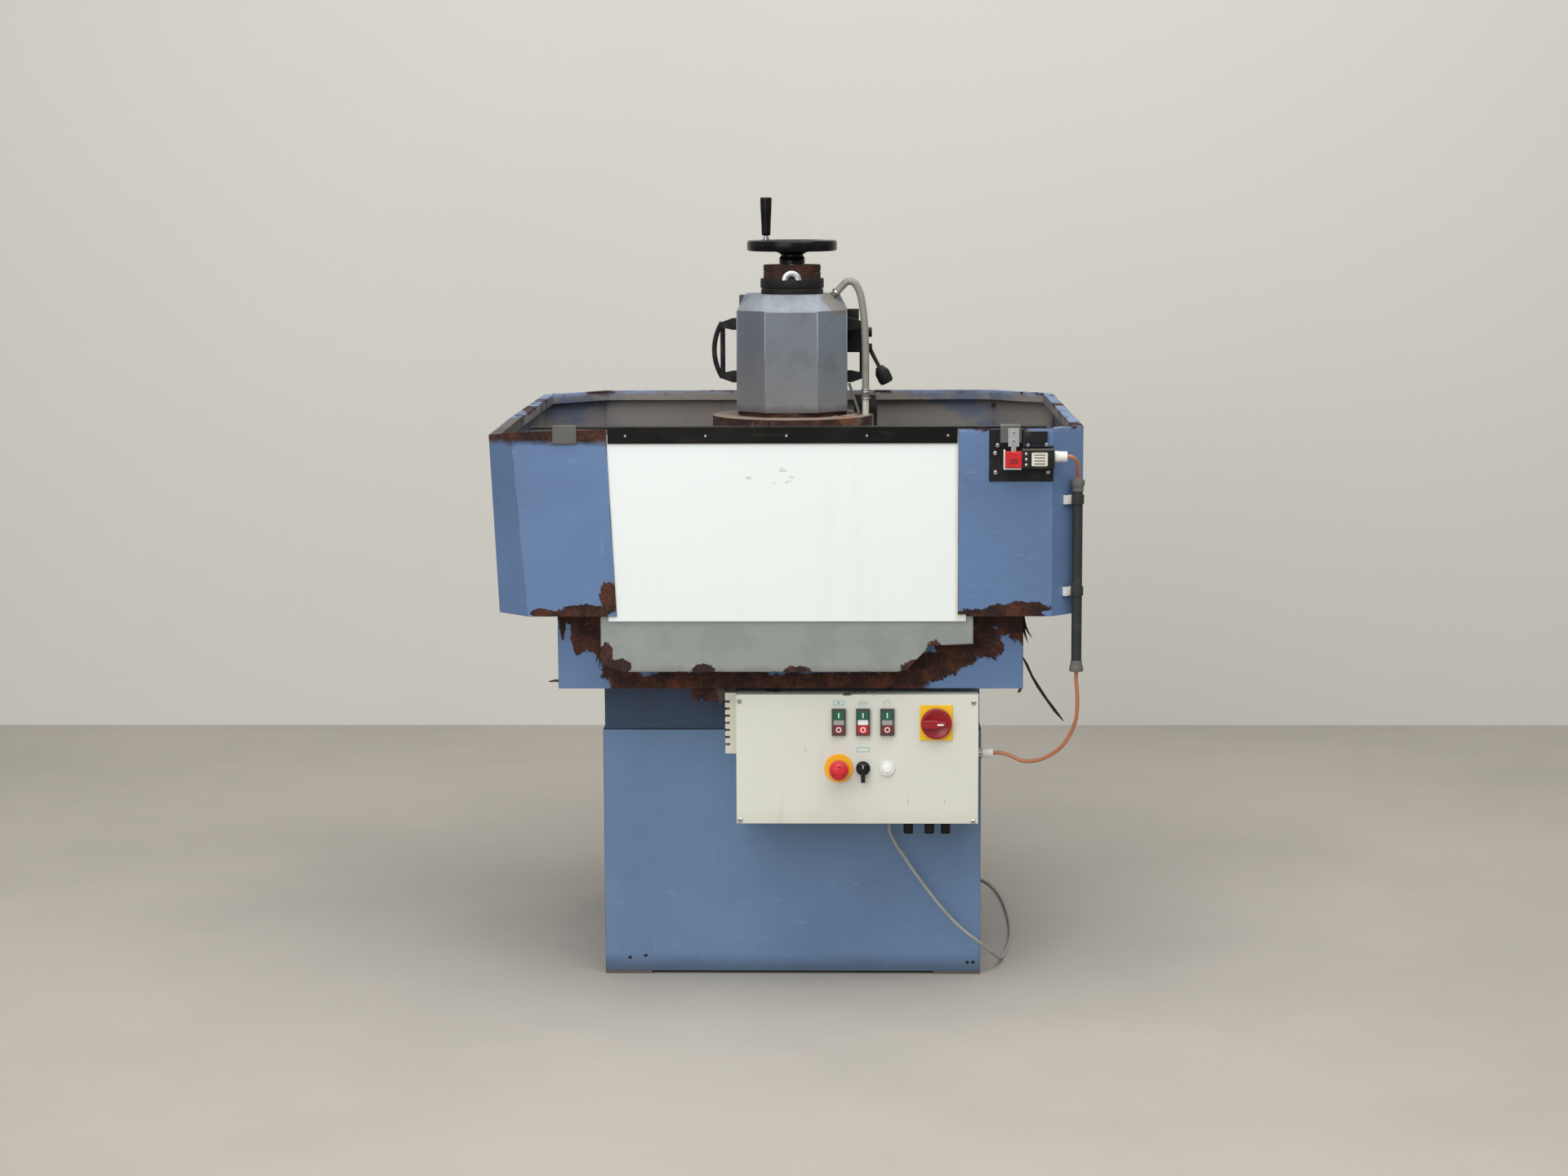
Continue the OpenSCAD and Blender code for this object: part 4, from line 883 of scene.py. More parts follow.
def mix_mouldings():
    """Plastics, rubbers and cables, then the control box and the door."""
    colors = bpy.context.scene.grinder_colors
    for key, color, rough, grime in (
            # painted shade gap: near-black finish for shapes that stand in for the shade inside
            # sockets, holes and slots
            ("matt black", tint(30, 30, 31), 0.55, 0.30), ("painted shade gap", tint(10, 10, 10), 0.8, 0.0),
            ("grey moulding", tint(70, 70, 69), 0.5, 0.3),
            ("bakelite", tint(11, 11, 12), 0.2, 0.07), ("yellow", tint(246, 196, 26), 0.38, 0.12),
            ("orange yellow", tint(244, 176, 30), 0.4, 0.12),
            ("red", tint(196, 24, 32), 0.32, 0.10), ("signal red", tint(206, 30, 40), 0.42, 0.08),
            ("switch red", tint(150, 18, 28), 0.28, 0.14), ("green", tint(22, 92, 66), 0.32, 0.2),
            ("stop red", tint(126, 40, 44), 0.34, 0.4),
            ("white mark", tint(232, 232, 226), 0.5, 0.1),
            ("white button", tint(240, 240, 236), 0.28, 0.05),
            ("lens", tint(160, 158, 150), 0.3, 0.35),
            ("pale nylon", tint(222, 222, 214), 0.5, 0.12),
            ("conduit", tint(50, 52, 53), 0.48, 0.25), ("coupler", tint(98, 98, 94), 0.6, 0.4),
            ("duct cream", tint(214, 211, 194), 0.55, 0.25),
            ("hose", tint(138, 135, 124), 0.5, 0.35),
            ("clear tube", tint(196, 192, 180), 0.22, 0.3),
            ("cable grey", tint(158, 158, 153), 0.5, 0.25), ("rubber", tint(26, 26, 26), 0.7, 0.2),
            ("copper cable", colors.cable, 0.45, 0.22), ("pump green", tint(52, 92, 76), 0.45, 0.4),
            ("motor grey", tint(86, 96, 108), 0.5, 0.4), ("winding", tint(150, 92, 48), 0.4, 0.3),
            ("icon blue", tint(120, 176, 186), 0.55, 0.1)):
        shine = 0.16 if sum(color[:3]) < 0.12 else 0.5
        skin = Finish(key + " finish", color, rough, Specular_IOR_Level=shine)
        dirt = [v * 0.35 + 0.025 for v in color[:3]] if sum(color[:3]) > 0.2 else \
            tint(92, 86, 78)
        if grime:
            skin.lay(skin.times(skin.mask("grain", scale=26.0, low=0.48, high=0.72), grime),
                     dirt, min(0.9, rough + 0.25))
            skin.lay(skin.times(skin.mask("facing", low=0.55, high=0.95, ragged=0.5), grime),
                     tint(150, 142, 130), 0.85)
            skin.lay(skin.times(skin.mask("edge wear", radius=0.0012, low=0.05, high=0.3,
                                          scale=80.0), grime),
                     [min(1, v * 1.4 + 0.06) for v in color[:3]], rough)
        skin.rise(skin.mask("grain", scale=500.0, low=0.2, high=0.8, detail=2.0), 0.00004)
        skin.done(key)

    box = Finish("box enamel", colors.cream, 0.38)
    box.lay(box.mask("grain", scale=2.6, low=0.4, high=0.8), [v * 0.93 for v in colors.cream])
    streak = box.times(
        box.mask("grain", scale=16.0, low=0.6, high=0.72, stretch=(1.6, 1.6, 0.14)), 0.09)
    box.lay(streak, tint(128, 122, 104), 0.6)
    marks = box.times(box.mask("grain", scale=46.0, low=0.70, high=0.735,
                               stretch=(1.8, 1, 0.4), shift=(2, 2, 2)), 0.4)
    box.lay(marks, tint(118, 116, 106), 0.6)
    box.lay(box.times(box.band(0.40, 0.352, ragged=0.05), 0.16),
            tint(150, 140, 112), 0.6)
    box.rusty(box.times(box.band(0.6265, 0.629, ragged=0.006,
                                 scale=30.0), box.mask("grain", scale=14.0, low=0.58, high=0.64),
                        0.9))
    box.lay(box.times(box.mask("edge wear", radius=0.003, low=0.05, high=0.25), 0.5),
            tint(166, 164, 150), 0.5)
    box.rise(box.mask("grain", scale=420.0, low=0.1, high=0.9, detail=2.0), 0.00006)
    box.done("box cream")

    sheet = Finish("door sheet", colors.door, 0.33)
    sheet.lay(sheet.times(sheet.mask("grain", scale=3.0, low=0.45, high=0.8), 0.25),
              [v * 0.9 for v in colors.door])
    scuff = sheet.times(
        sheet.mask("spot", centre=(-0.045, -0.59, 1.085), size=(0.05, 0.05, 0.022), ragged=1.2,
                   scale=30.0),
        sheet.mask("grain", scale=60.0, low=0.54, high=0.6, stretch=(0.6, 1, 1.6)), 0.42)
    sheet.lay(scuff, tint(132, 134, 132), 0.6)
    specks = sheet.times(sheet.mask("grain", scale=30.0, low=0.70, high=0.73), 0.3)
    sheet.lay(specks, tint(166, 162, 150), 0.6)
    runs = sheet.times(sheet.mask("grain", scale=9.0, low=0.55, high=0.75,
                                  stretch=(1.4, 1, 0.1)), 0.10)
    sheet.lay(runs, tint(176, 172, 158), 0.5)
    edge = sheet.band(0.333, 0.343, axis=(1, 0, 0), ragged=0.008)
    sheet.lay(sheet.times(edge, 0.35), tint(178, 158, 118), 0.6)
    sheet.rise(sheet.mask("grain", scale=4.0, low=0.1, high=0.9, detail=1.0), 0.0005)
    sheet.done("door white")


def mix_floor():
    """Plain floor and backdrop."""
    stage = bpy.context.scene.grinder_stage
    floor = Finish("plain floor", stage.floor, 0.72)
    floor.lay(floor.mask("grain", scale=0.9, low=0.35, high=0.7), [v * 0.9 for v in stage.floor])
    floor.rise(floor.mask("grain", scale=60.0, low=0.2, high=0.8), 0.0002)
    floor.done("floor")
    wall = Finish("plain backdrop", stage.wall, 0.9)
    wall.lay(wall.times(wall.mask("grain", scale=0.7, low=0.35, high=0.75), 0.4),
             [v * 0.95 for v in stage.wall])
    # seen from the room only, so that the machine can be looked at from behind
    behind = shader(wall.tree, "NewGeometry").outputs["Backfacing"]
    wall.constants["Alpha"] = math_of(wall.tree, "SUBTRACT", 1.0, behind)
    wall.done("wall")


# ---- pieces ----------------------------------------------------------------------------------

ROUTES = {
    "pump_lead": [
        (206, -430, 336), (206, -430, 327), (206, -430, 318), (219, -431, 290),
        (236, -432, 265), (252, -432, 240), (285, -430, 193), (322, -428, 145),
        (360, -425, 105), (400, -418, 72), (428, -380, 40), (446, -320, 14), (456, -255, 4),
        (468, -190, 4), (479, -98, 4), (484, 0, 4), (485, 100, 4), (481, 230, 4),
        (471, 345, 4), (450, 445, 4), (410, 510, 4), (352, 535, 6), (298, 522, 24),
        (260, 486, 54), (243, 457, 68), (240, 440, 70), (240, 432, 70), (240, 425, 70)],
    "box_cable": [
        (587, -564, 681), (587, -564, 672), (587, -564, 663), (590, -563, 620),
        (586, -556, 572), (562, -541, 522), (523, -518, 490), (485, -498, 481),
        (455, -485, 491), (437, -480, 495), (429, -480, 495), (421, -480, 495)],
    "switch_cable": [
        (561, -616, 1127), (565, -616, 1127), (569, -616, 1127), (577, -611, 1122),
        (583, -598, 1111), (586, -580, 1097), (587, -567, 1086), (587, -564, 1080),
        (587, -564, 1075)],
    "head_hose": [
        (95.93, 22, 1438.08), (100.03, 22, 1442.46), (104.13, 22, 1446.84), (118, 21, 1459),
        (134, 20, 1455),
        (146, 20, 1432), (152, 20, 1400), (156, 20, 1360), (158, 20, 1300), (158, 20, 1260),
        (158, 20, 1222)],
}


def lay_cord(node, diameter, finish):
    """A free cord on its route, from one fixing to the other."""
    path = smooth_route(ROUTES[node])
    form = Form(finish).tube(path, diameter / 2, bpy.context.scene.grinder_sizes.cord_sides)
    cord = form.done(node + "_finished", body_of(node), record_slot(node), sharp=60,
                     replaces=(node,))


def make_cords():
    """The three cables and the head's hose."""
    lay_cord("pump_lead", 0.007, "cable grey")
    lay_cord("box_cable", 0.008, "copper cable")
    lay_cord("switch_cable", 0.008, "copper cable")
    lay_cord("head_hose", 0.016, "hose")


def make_pedestal():
    """Cabinet, top frame, feet and the service panel with its screws."""
    sizes = bpy.context.scene.grinder_sizes
    # cabinet and service panel in the enamel lightened as painted light
    dress("pedestal_cabinet", "cabinet blue with painted light", sizes.sheet_edge)
    # top frame in the enamel darkened as painted shade
    dress("pedestal_top_frame", "frame blue with painted shade", sizes.sheet_edge)
    dress("foot_plates", "mill steel", sizes.sheet_edge)
    dress("service_panel", "cabinet blue with painted light", sizes.sheet_edge)
    low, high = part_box("service_panel")
    thin = min(range(3), key=lambda k: high[k] - low[k])
    centre = (low + high) / 2
    axis = ("X", "Y")[thin] if centre[thin] > 0 else ("-X", "-Y")[thin]
    face = high[thin] if centre[thin] > 0 else low[thin]
    other = 1 - thin
    spots = []
    for a in (low[other] + 0.02, centre[other], high[other] - 0.02):
        for z in (low.z + 0.02, high.z - 0.02):
            spot = Vector((0, 0, z))
            spot[thin], spot[other] = face, a
            spots.append(spot)
    screws("service_panel_screws", "root", "zinc", spots, axis, 0.006)


def make_hood():
    """Hood, drip pan, door guides, apron and the rim of the leaning side."""
    sizes = bpy.context.scene.grinder_sizes
    dress("hood_shell", "hood blue", sizes.sheet_edge * 0.7)
    dress("drip_pan", "hood blue", sizes.sheet_edge * 0.7)
    dress("door_guides", "hood blue", 0.0006)
    dress("apron_strip", "galvanised", 0.0005)
    # rim of the leaning left side, from the straight rim to the front corner
    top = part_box("hood_shell")[1].z
    back = Vector((-0.600, -0.2885, top - 0.0001))
    front = Vector((-0.6165, -0.528, top - RIM_SAG))
    form = Form("mill steel")
    for across, down in (((0.0005, 0.022), (0.0, -0.003)), ((0.019, 0.022), (-0.003, -0.022))):
        ends = [[form.bm.verts.new(end + Vector((dx, 0, dz)))
                 for dx, dz in ((across[0], down[0]), (across[1], down[0]),
                                (across[1], down[1]), (across[0], down[1]))]
                for end in (back, front)]
        faces = [form.bm.faces.new(end) for end in ends]
        faces += [form.bm.faces.new((ends[0][k], ends[0][(k + 1) % 4], ends[1][(k + 1) % 4],
                                     ends[1][k])) for k in range(4)]
        form.close(faces)
    form.done("left_rim", "root", "blue_paint", sharp=30)


def make_wear():
    """What hangs, sticks out or has torn along the pan's lower edge."""
    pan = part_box("drip_pan")
    front, floor_z = pan[0].y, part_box("pedestal_top_frame")[1].z
    strip = [Vector(p) * MM for p in (
        (480, -520, 703), (488, -524, 688), (499, -527, 664), (512, -530, 642),
        (529, -533, 617), (546, -536, 594), (556, -537, 582), (564, -538, 572))]
    widths = [0.0016, 0.0030, 0.0026, 0.0036, 0.0030, 0.0034, 0.0022, 0.0008]
    Form("rubber").tube(strip, widths, 7, 0.5).done("torn_seal", "root", "black_rubber")
    for n, (x0, z0, x1, z1) in enumerate(((480, 792, 499, 744), (480, 780, 490, 735))):
        path = [Vector((x0 + (x1 - x0) * t * t, -522 - 6 * t, z0 + (z1 - z0) * t)) * MM
                for t in (0, 0.25, 0.5, 0.75, 1)]
        Form("rubber").tube(path, [0.003, 0.0034, 0.0026, 0.0018, 0.0005], 6, 0.35).done(
            f"torn_flap_{n + 1}", "root", "black_rubber")
    rod = [Vector(p) * MM for p in ((-478, -528, 655), (-486, -529, 656), (-500, -530, 654))]
    Form("guard rust").tube(rod, [0.0032, 0.0028, 0.0014], 8).done(
        "broken_rod", "root", "bare_steel")
    hook = [Vector(p) * MM for p in ((474, -530, 648), (475, -532, 640), (473, -533, 634),
                                     (469, -533, 632))]
    Form("guard rust").tube(hook, [0.004, 0.0036, 0.003, 0.0015], 8, 0.6).done(
        "bent_hook", "root", "bare_steel")
    # scale that has come away from the pan's floor and hangs in a ragged sheet
    form = Form("guard rust")
    columns, rows, depth = 26, 7, 0.0018
    grid = []
    for side in (0, 1):
        sheet = []
        for i in range(columns + 1):
            x = -0.206 + 0.092 * i / columns
            drop = 0.030 + 0.010 * noise.noise(Vector((i * 0.47, 2.0, 0.3))) \
                + 0.003 * math.sin(i * 1.9)
            sheet.append([form.bm.verts.new((
                x + 0.002 * noise.noise(Vector((i, j, 5.1))),
                front + 0.03 + 0.006 * noise.noise(Vector((i * 0.3, j * 0.6, 1.7)))
                + side * depth, floor_z - max(0.006, drop) * j / rows))
                for j in range(rows + 1)])
        grid.append(sheet)
    faces = []
    for side in (0, 1):
        for i in range(columns):
            for j in range(rows):
                g = grid[side]
                faces.append(form.bm.faces.new((g[i][j], g[i + 1][j], g[i + 1][j + 1],
                                                g[i][j + 1])))
    rim = [(i, 0) for i in range(columns)] + [(columns, j) for j in range(rows)] \
        + [(i, rows) for i in range(columns, 0, -1)] + [(0, j) for j in range(rows, 0, -1)]
    for (a, b), (c, d) in zip(rim, rim[1:] + rim[:1]):
        faces.append(form.bm.faces.new((grid[0][a][b], grid[0][c][d], grid[1][c][d],
                                        grid[1][a][b])))
    form.close(faces)
    form.done("hanging_scale", "root", "rusted_steel")


def make_door():
    """The lift-up door with its angle, brackets, screws and interlock key."""
    dress("door_panel", "door white", 0.0008)
    dress("door_angle", "worn black", 0.0009)
    dress("door_brackets", "bracket grey", 0.0008)
    z = middle("door_screws").z
    spots = [(x * MM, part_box("door_angle")[0].y, z) for x in (-332, -169, -5, 158, 322)]
    screws("door_screws_finished", "door", "zinc", spots, "-Y", 0.0024,
           replaces=("door_screws",))
    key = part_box("interlock_key")
    dress("interlock_key", "zinc", 0.0007)
    x = (key[0].x + key[1].x) / 2
    # near-black discs in the key's holes: painted shade
    heads("interlock_key_sockets", "door", "zinc", "painted shade gap",
          [(x, key[0].y, key[1].z - MM * d) for d in (9, 26)], "-Y", 0.0016, 0.0003, 6, 0.95)


def make_interlock():
    """The door's interlock switch on its plate, with the red head that takes the key."""
    dress("interlock_plate", "matt black", 0.0008)
    low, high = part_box("interlock_switch")
    split = low.x + (high.x - low.x) * 0.342
    dress("interlock_switch", "matt black", 0.0012, more=("red",),
          pick=lambda c: 1 if c.x < split else 0)
    y = low.y
    frame_form = Form("pale nylon")
    frame_form.block((low.x - 0.003, y + 0.004, low.z + 0.001), (low.x, y + 0.02, high.z))
    frame_form.block((low.x - 0.003, y + 0.004, low.z - 0.002),
                     (split - 0.001, y + 0.02, low.z + 0.001))
    frame_form.done("interlock_frame", "root", "grey_plastic", 0.0008)
    mid_z = (low.z + high.z) / 2
    label = Form("duct cream", "grey moulding")
    label.prism(rounded(0.032, 0.027, 0.002), 0, 0.0006, (split + 0.035, y, mid_z), "-Y")
    label.use = 1
    for n in range(4):
        label.block((split + 0.024, y - 0.0009, mid_z - 0.010 + n * 0.006),
                    (split + 0.046, y - 0.0006, mid_z - 0.008 + n * 0.006))
    label.done("interlock_blank_label", "root", "grey_plastic", 0.0001)
    Form("switch red").prism(rounded(0.016, 0.010, 0.002), 0, 0.0012,
                             ((low.x + split) / 2, y, mid_z - 0.003), "-Y").done(
        "interlock_red_window", "root", "grey_plastic", 0.0004)
    heads("interlock_body_screws", "root", "zinc", "zinc",
          [(split + 0.008, y, mid_z + 0.011), (split + 0.008, y, mid_z),
           (split + 0.008, y, mid_z - 0.011)], "-Y", 0.0028, 0.0014)
    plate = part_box("interlock_plate")
    corner = Vector((0.405, plate[0].y + 0.002, 1.182))
    spots = [(corner.x + a * MM, corner.y, corner.z + b * MM)
             for a, b in ((12, -49), (13, -88), (119, -87), (17, -33), (78, -33), (115, -32))]
    spots = [s for s in spots if plate[0].x < s[0] < plate[1].x]
    screws("interlock_plate_screws", "root", "zinc", spots, "-Y", 0.0042)


def make_conduit():
    """The stiff conduit down the hood's right side, with its couplings and clips."""
    low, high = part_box("conduit")
    x, y = CONDUIT_X, CONDUIT_Y

    def part_of(c):
        if math.hypot(c.x - x, c.y - y) > 0.0135:
            return 2
        return 1 if c.z > high.z - 0.03 or c.z < low.z + 0.03 else 0

    dress("conduit", "conduit", 0.0006, more=("coupler", "pale nylon"), pick=part_of)
    for n, (z0, z1) in enumerate(((low.z, low.z + 0.012), (high.z - 0.012, high.z))):
        Form("coupler").lathe([(0.0136, z0), (0.0142, z0 + 0.002), (0.0142, z1 - 0.002),
                               (0.0136, z1), (0.0098, z1), (0.0098, z0)], (x, y, 0),
                              ring=True).done(f"conduit_ring_{n + 1}", "root", "conduit_grey")


def make_box():
    """Control box with its lid, corner screws, cable duct, glands and pictograms."""
    dress("box_body", "box cream", 0.0015)
    dress("box_lid", "box cream", 0.0028, steps=3)
    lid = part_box("box_lid")
    y = lid[0].y
    spots = [(-0.105, y, 0.616), (0.378, y, 0.613), (-0.105, y, 0.366), (0.3775, y, 0.363)]
    screws("panel_screws_finished", "root", "zinc", spots, "-Y", 0.0052,
           replaces=("panel_screws",))
    dress("cable_duct", "duct cream", 0.0008)
    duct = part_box("cable_duct")
    # near-black slabs in the duct's slots: painted shade standing in for the dark inside the slots
    grow("Row of ribs", "cable_duct_slot_shade", "root", "cream_plastic", "painted shade gap", count=8,
         start=(duct[0].x + 0.0006, (duct[0].y + duct[1].y) / 2 - 0.004, duct[0].z + 0.012),
         pitch=(0, 0, 0.0115), size=(0.0016, (duct[1].y - duct[0].y) * 0.6, 0.004))
    dress("cable_glands", "matt black", 0.0006, more=("pale nylon",),
          pick=lambda c: 1 if c.z > 1.0 or c.x > lid[1].x - 0.002 else 0)
    for n, (gx, gy, gz, axis, finish) in enumerate((
            (0.245, -0.48, 0.359, "-Z", "matt black"), (0.289, -0.48, 0.359, "-Z", "matt black"),
            (0.323, -0.48, 0.359, "-Z", "matt black"), (0.388, -0.48, 0.495, "X", "coupler"))):
        grow("Ring of flutes", f"gland_nut_{n + 1}", "root", "black_plastic", finish, count=12,
             radius=0.0098, size=(0.0022, 0.0022, 0.009),
             centre=tuple(seat((gx, gy, gz), axis) @ Vector((0, 0, 0.0065))),
             turn=tuple(TURNS[axis]))
    sign = Form("icon blue")
    zone = 0.6125
    for x in (0.100, 0.150, 0.200):
        if x < 0.12:
            for dx, dz, w, h in ((0, 0.004, 0.022, 0.0012), (0, -0.004, 0.022, 0.0012),
                                 (-0.0105, 0, 0.0012, 0.008), (0.0105, 0, 0.0012, 0.008),
                                 (0, 0, 0.006, 0.003)):
                sign.prism(rounded(w, h, 0.0004, 1), 0, 0.0003, (x + dx, y, zone + dz), "-Y")
        elif x < 0.17:
            for k in range(4):
                sign.prism([(-0.0006, -0.004), (0.0012, -0.004), (0.0036, 0.004),
                            (0.0018, 0.004)], 0, 0.0003, (x - 0.009 + k * 0.005, y, zone), "-Y")
        else:
            for k in range(7):
                a = math.radians(-20 + k * 37)
                sign.prism(rounded(0.0022, 0.0022, 0.0008, 2), 0, 0.0003,
                           (x + 0.006 * math.cos(a), y, zone + 0.005 * math.sin(a)), "-Y")
    for dx, dz, w, h in ((0, 0.0045, 0.026, 0.0012), (0, -0.0045, 0.026, 0.0012),
                         (-0.0125, 0, 0.0012, 0.009), (0.0125, 0, 0.0012, 0.009)):
        sign.prism(rounded(w, h, 0.0004, 1), 0, 0.0003, (0.15 + dx, y, 0.5145 + dz), "-Y")
    sign.done("button_pictograms", "root", "cream_paint", sharp=20)


def make_buttons():
    """Double push buttons: green start cap, pale strip, red stop cap, in grey bezels."""
    lid_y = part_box("box_lid")[0].y
    push = middle("white_button")
    dress("button_bezels", "grey moulding", 0.0010, more=("white button", "matt black"),
          pick=lambda c: 1 if abs(c.x - push.x) < 0.018 and abs(c.z - push.z) < 0.018 else
          2 if abs(c.z - push.z) < 0.018 else 0)
    for k in (1, 2, 3):
        for word, finish in (("start", "green"), ("stop", "stop red" if k != 2 else "red")):
            node = f"{word}_button_{k}"
            low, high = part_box(node)
            centre = (low + high) / 2
            dress(node, finish, 0.0009, steps=3)
            mark = Form("white mark")
            at = (centre.x, low.y, centre.z)
            if word == "start":
                mark.prism(rounded(0.0022, 0.011, 0.0008, 2), -0.0002, 0.0003, at, "-Y")
            else:
                mark.lathe([(0.0036, -0.0002), (0.0036, 0.0003), (0.0056, 0.0003),
                            (0.0056, -0.0002)], at, "-Y", 40, ring=True)
            mark.done(f"{word}_mark_{k}", f"{word}_{k}", record_slot(node))
        x = middle(f"start_button_{k}").x
        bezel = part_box("button_bezels")
        gap_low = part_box(f"stop_button_{k}")[1].z
        gap_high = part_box(f"start_button_{k}")[0].z
        if gap_high - gap_low > 0.004:
            lens = Form("white mark" if k == 2 else "lens")
            lens.prism(rounded(0.021, gap_high - gap_low - 0.0022, 0.0012), 0, 0.0008,
                       (x, bezel[0].y, (gap_low + gap_high) / 2), "-Y")
            lens.done(f"button_lens_{k}", "root", "grey_plastic", 0.0003)
    low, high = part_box("white_button")
    centre = (low + high) / 2
    radius = (high.x - low.x) / 2
    tall = high.y - low.y
    Form("white button").lathe(
        [(0, 0), (radius * 0.55, 0), (radius * 0.55, tall * 0.45), (radius, tall * 0.5),
         (radius, tall * 0.78), (radius * 0.94, tall * 0.9), (radius * 0.8, tall * 0.965),
         (radius * 0.45, tall * 0.995), (0, tall)], (centre.x, high.y, centre.z), "-Y",
        48).done("white_button_finished", "white_push", "white_plastic",
                 replaces=("white_button",))
    inner, outer = radius + 0.0004, radius + 0.0034
    Form("white button").lathe(
        [(inner, 0), (outer, 0), (outer, 0.002), (outer - 0.0006, 0.0028),
         (inner + 0.0006, 0.0028), (inner, 0.0022)], (centre.x, lid_y, centre.z), "-Y", 48,
        ring=True).done("white_button_ring", "root", "white_plastic")


def make_switches():
    """Emergency stop, key selector and main switch, with their yellow plates."""
    split = 0.2
    dress("switch_plates", "orange yellow", 0.0012, more=("yellow",),
          pick=lambda c: 1 if c.x > split else 0)
    low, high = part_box("estop_mushroom")
    centre = (low + high) / 2
    r, tall = (high.x - low.x) / 2, high.y - low.y
    form = Form("signal red")
    form.lathe([(0, 0), (r * 0.5, 0), (r * 0.5, tall * 0.42), (r * 0.93, tall * 0.46),
                (r, tall * 0.52), (r, tall * 0.72), (r * 0.97, tall * 0.80),
                (r * 0.88, tall * 0.88), (r * 0.70, tall * 0.95), (r * 0.42, tall * 0.99),
                (0, tall)], (centre.x, high.y, centre.z), "-Y", 64)
    form.done("estop_mushroom_finished", "estop", "red_plastic", replaces=("estop_mushroom",))
    arrows = Form("switch red")
    for k in range(3):
        a = math.radians(90 + 120 * k)
        arrows.prism([(-0.0045, -0.0008), (0.0022, -0.0008), (0.0022, -0.0022), (0.0052, 0.0),
                      (0.0022, 0.0022), (0.0022, 0.0008), (-0.0045, 0.0008)], -0.0012, -0.0003,
                     (centre.x + 0.55 * r * math.cos(a), low.y, centre.z
                      + 0.55 * r * math.sin(a)), "-Y")
    arrows.done("estop_turn_marks", "estop", "red_plastic", sharp=20)
    dress("selector_knob", "matt black", 0.0011, steps=3)
    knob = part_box("selector_knob")
    x = (knob[0].x + knob[1].x) / 2
    Form("white mark").prism(rounded(0.0014, 0.007, 0.0005, 2), -0.0002, 0.0003,
                             (x, knob[0].y, 0.482), "-Y").done(
        "selector_index", "selector", "black_plastic")
    low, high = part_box("main_switch_knob")
    centre = (low + high) / 2
    r, tall = (high.x - low.x) / 2, 0.027
    knob = Form("switch red")
    knob.lathe([(0, -0.012), (0.0088, -0.012), (0.0088, 0.0055), (r - 0.003, 0.0055),
                (r - 0.0008, 0.0065), (r, 0.009), (r, 0.0155), (r - 0.0015, 0.0178),
                (r - 0.004, 0.018), (r * 0.70, 0.0150), (r * 0.35, 0.0136), (0, 0.0132)],
               (centre.x, low.y + tall, centre.z), "-Y", 96)
    knob.prism([(-r + 0.0035, -0.0075), (-0.004, -0.0085), (r * 0.62, -0.0034),
                (r * 0.70, 0), (r * 0.62, 0.0034), (-0.004, 0.0085), (-r + 0.0035, 0.0075)],
               0.0130, tall, (centre.x, low.y + tall, centre.z), "-Y")
    knob.done("main_switch_knob_finished", "main_switch", "red_plastic", 0.0016, 3,
              replaces=("main_switch_knob",))
    Form("white mark").prism(rounded(0.013, 0.0034, 0.0010, 2), -0.0002, 0.0003,
                             (centre.x + 0.008, low.y, centre.z), "-Y").done(
        "main_switch_pointer", "main_switch", "red_plastic")


def make_head():
    """The octagonal spindle head with its arm, handles and collars."""
    sizes = bpy.context.scene.grinder_sizes
    dress("head_housing", "head grey", sizes.cast_edge, steps=3)
    dress("head_arm", "cast iron", sizes.cast_edge, steps=3)
    dress("head_handles", "matt black", 0.0012, steps=3)
    low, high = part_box("head_housing")
    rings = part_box("collar_rings")
    x, y = (low.x + high.x) / 2, (low.y + high.y) / 2
    z = high.z
    lower, cap, top = 0.0705, 0.0635, rings[1].z
    black = Form("matt black")
    black.lathe([(0.012, z), (lower - 0.0022, z), (lower - 0.0014, z + 0.001),
                 (lower - 0.0014, z + 0.0100), (lower - 0.0034, z + 0.0106),
                 (lower - 0.0034, z + 0.0122), (lower - 0.0008, z + 0.0128),
                 (lower, z + 0.0140), (lower, z + 0.0318), (lower - 0.0014, z + 0.034),
                 (cap - 0.004, z + 0.034), (0.012, z + 0.034)], (x, y, 0), steps=96, ring=True)
    black.done("lower_collar", "swing_head", "black_paint", replaces=("collar_rings",))
    Form("collar rust").lathe(
        [(0.012, z + 0.034), (cap - 0.001, z + 0.034), (cap, z + 0.036), (cap, z + 0.0470),
         (cap - 0.0014, z + 0.0478), (cap - 0.0014, z + 0.0490), (cap, z + 0.0498),
         (cap, top - 0.0016), (cap - 0.0016, top), (0.012, top)], (x, y, 0), steps=96,
        ring=True).done("upper_collar", "swing_head", "rusted_steel")
    eye = Form("zinc")
    centre = Vector((x, y - cap - 0.0033, z + 0.0315))
    arc = [centre + Vector((0.0145 * math.cos(a), 0, 0.0145 * math.sin(a)))
           for a in [math.pi * k / 24 for k in range(25)]]
    arc = [arc[0] - Vector((0, 0, 0.0002))] + arc + [arc[-1] - Vector((0, 0, 0.0002))]
    eye.tube(arc, 0.0072, 18, 0.42)
    eye.done("lifting_eye", "swing_head", "zinc", sharp=50)
    grow("Ring of flutes", "collar_bolts", "swing_head", "black_paint", "matt black", count=6,
         radius=0.0665, size=(0.004, 0.006, 0.003), centre=(x, y, z + 0.0345), turn=(0, 0, 0.5))


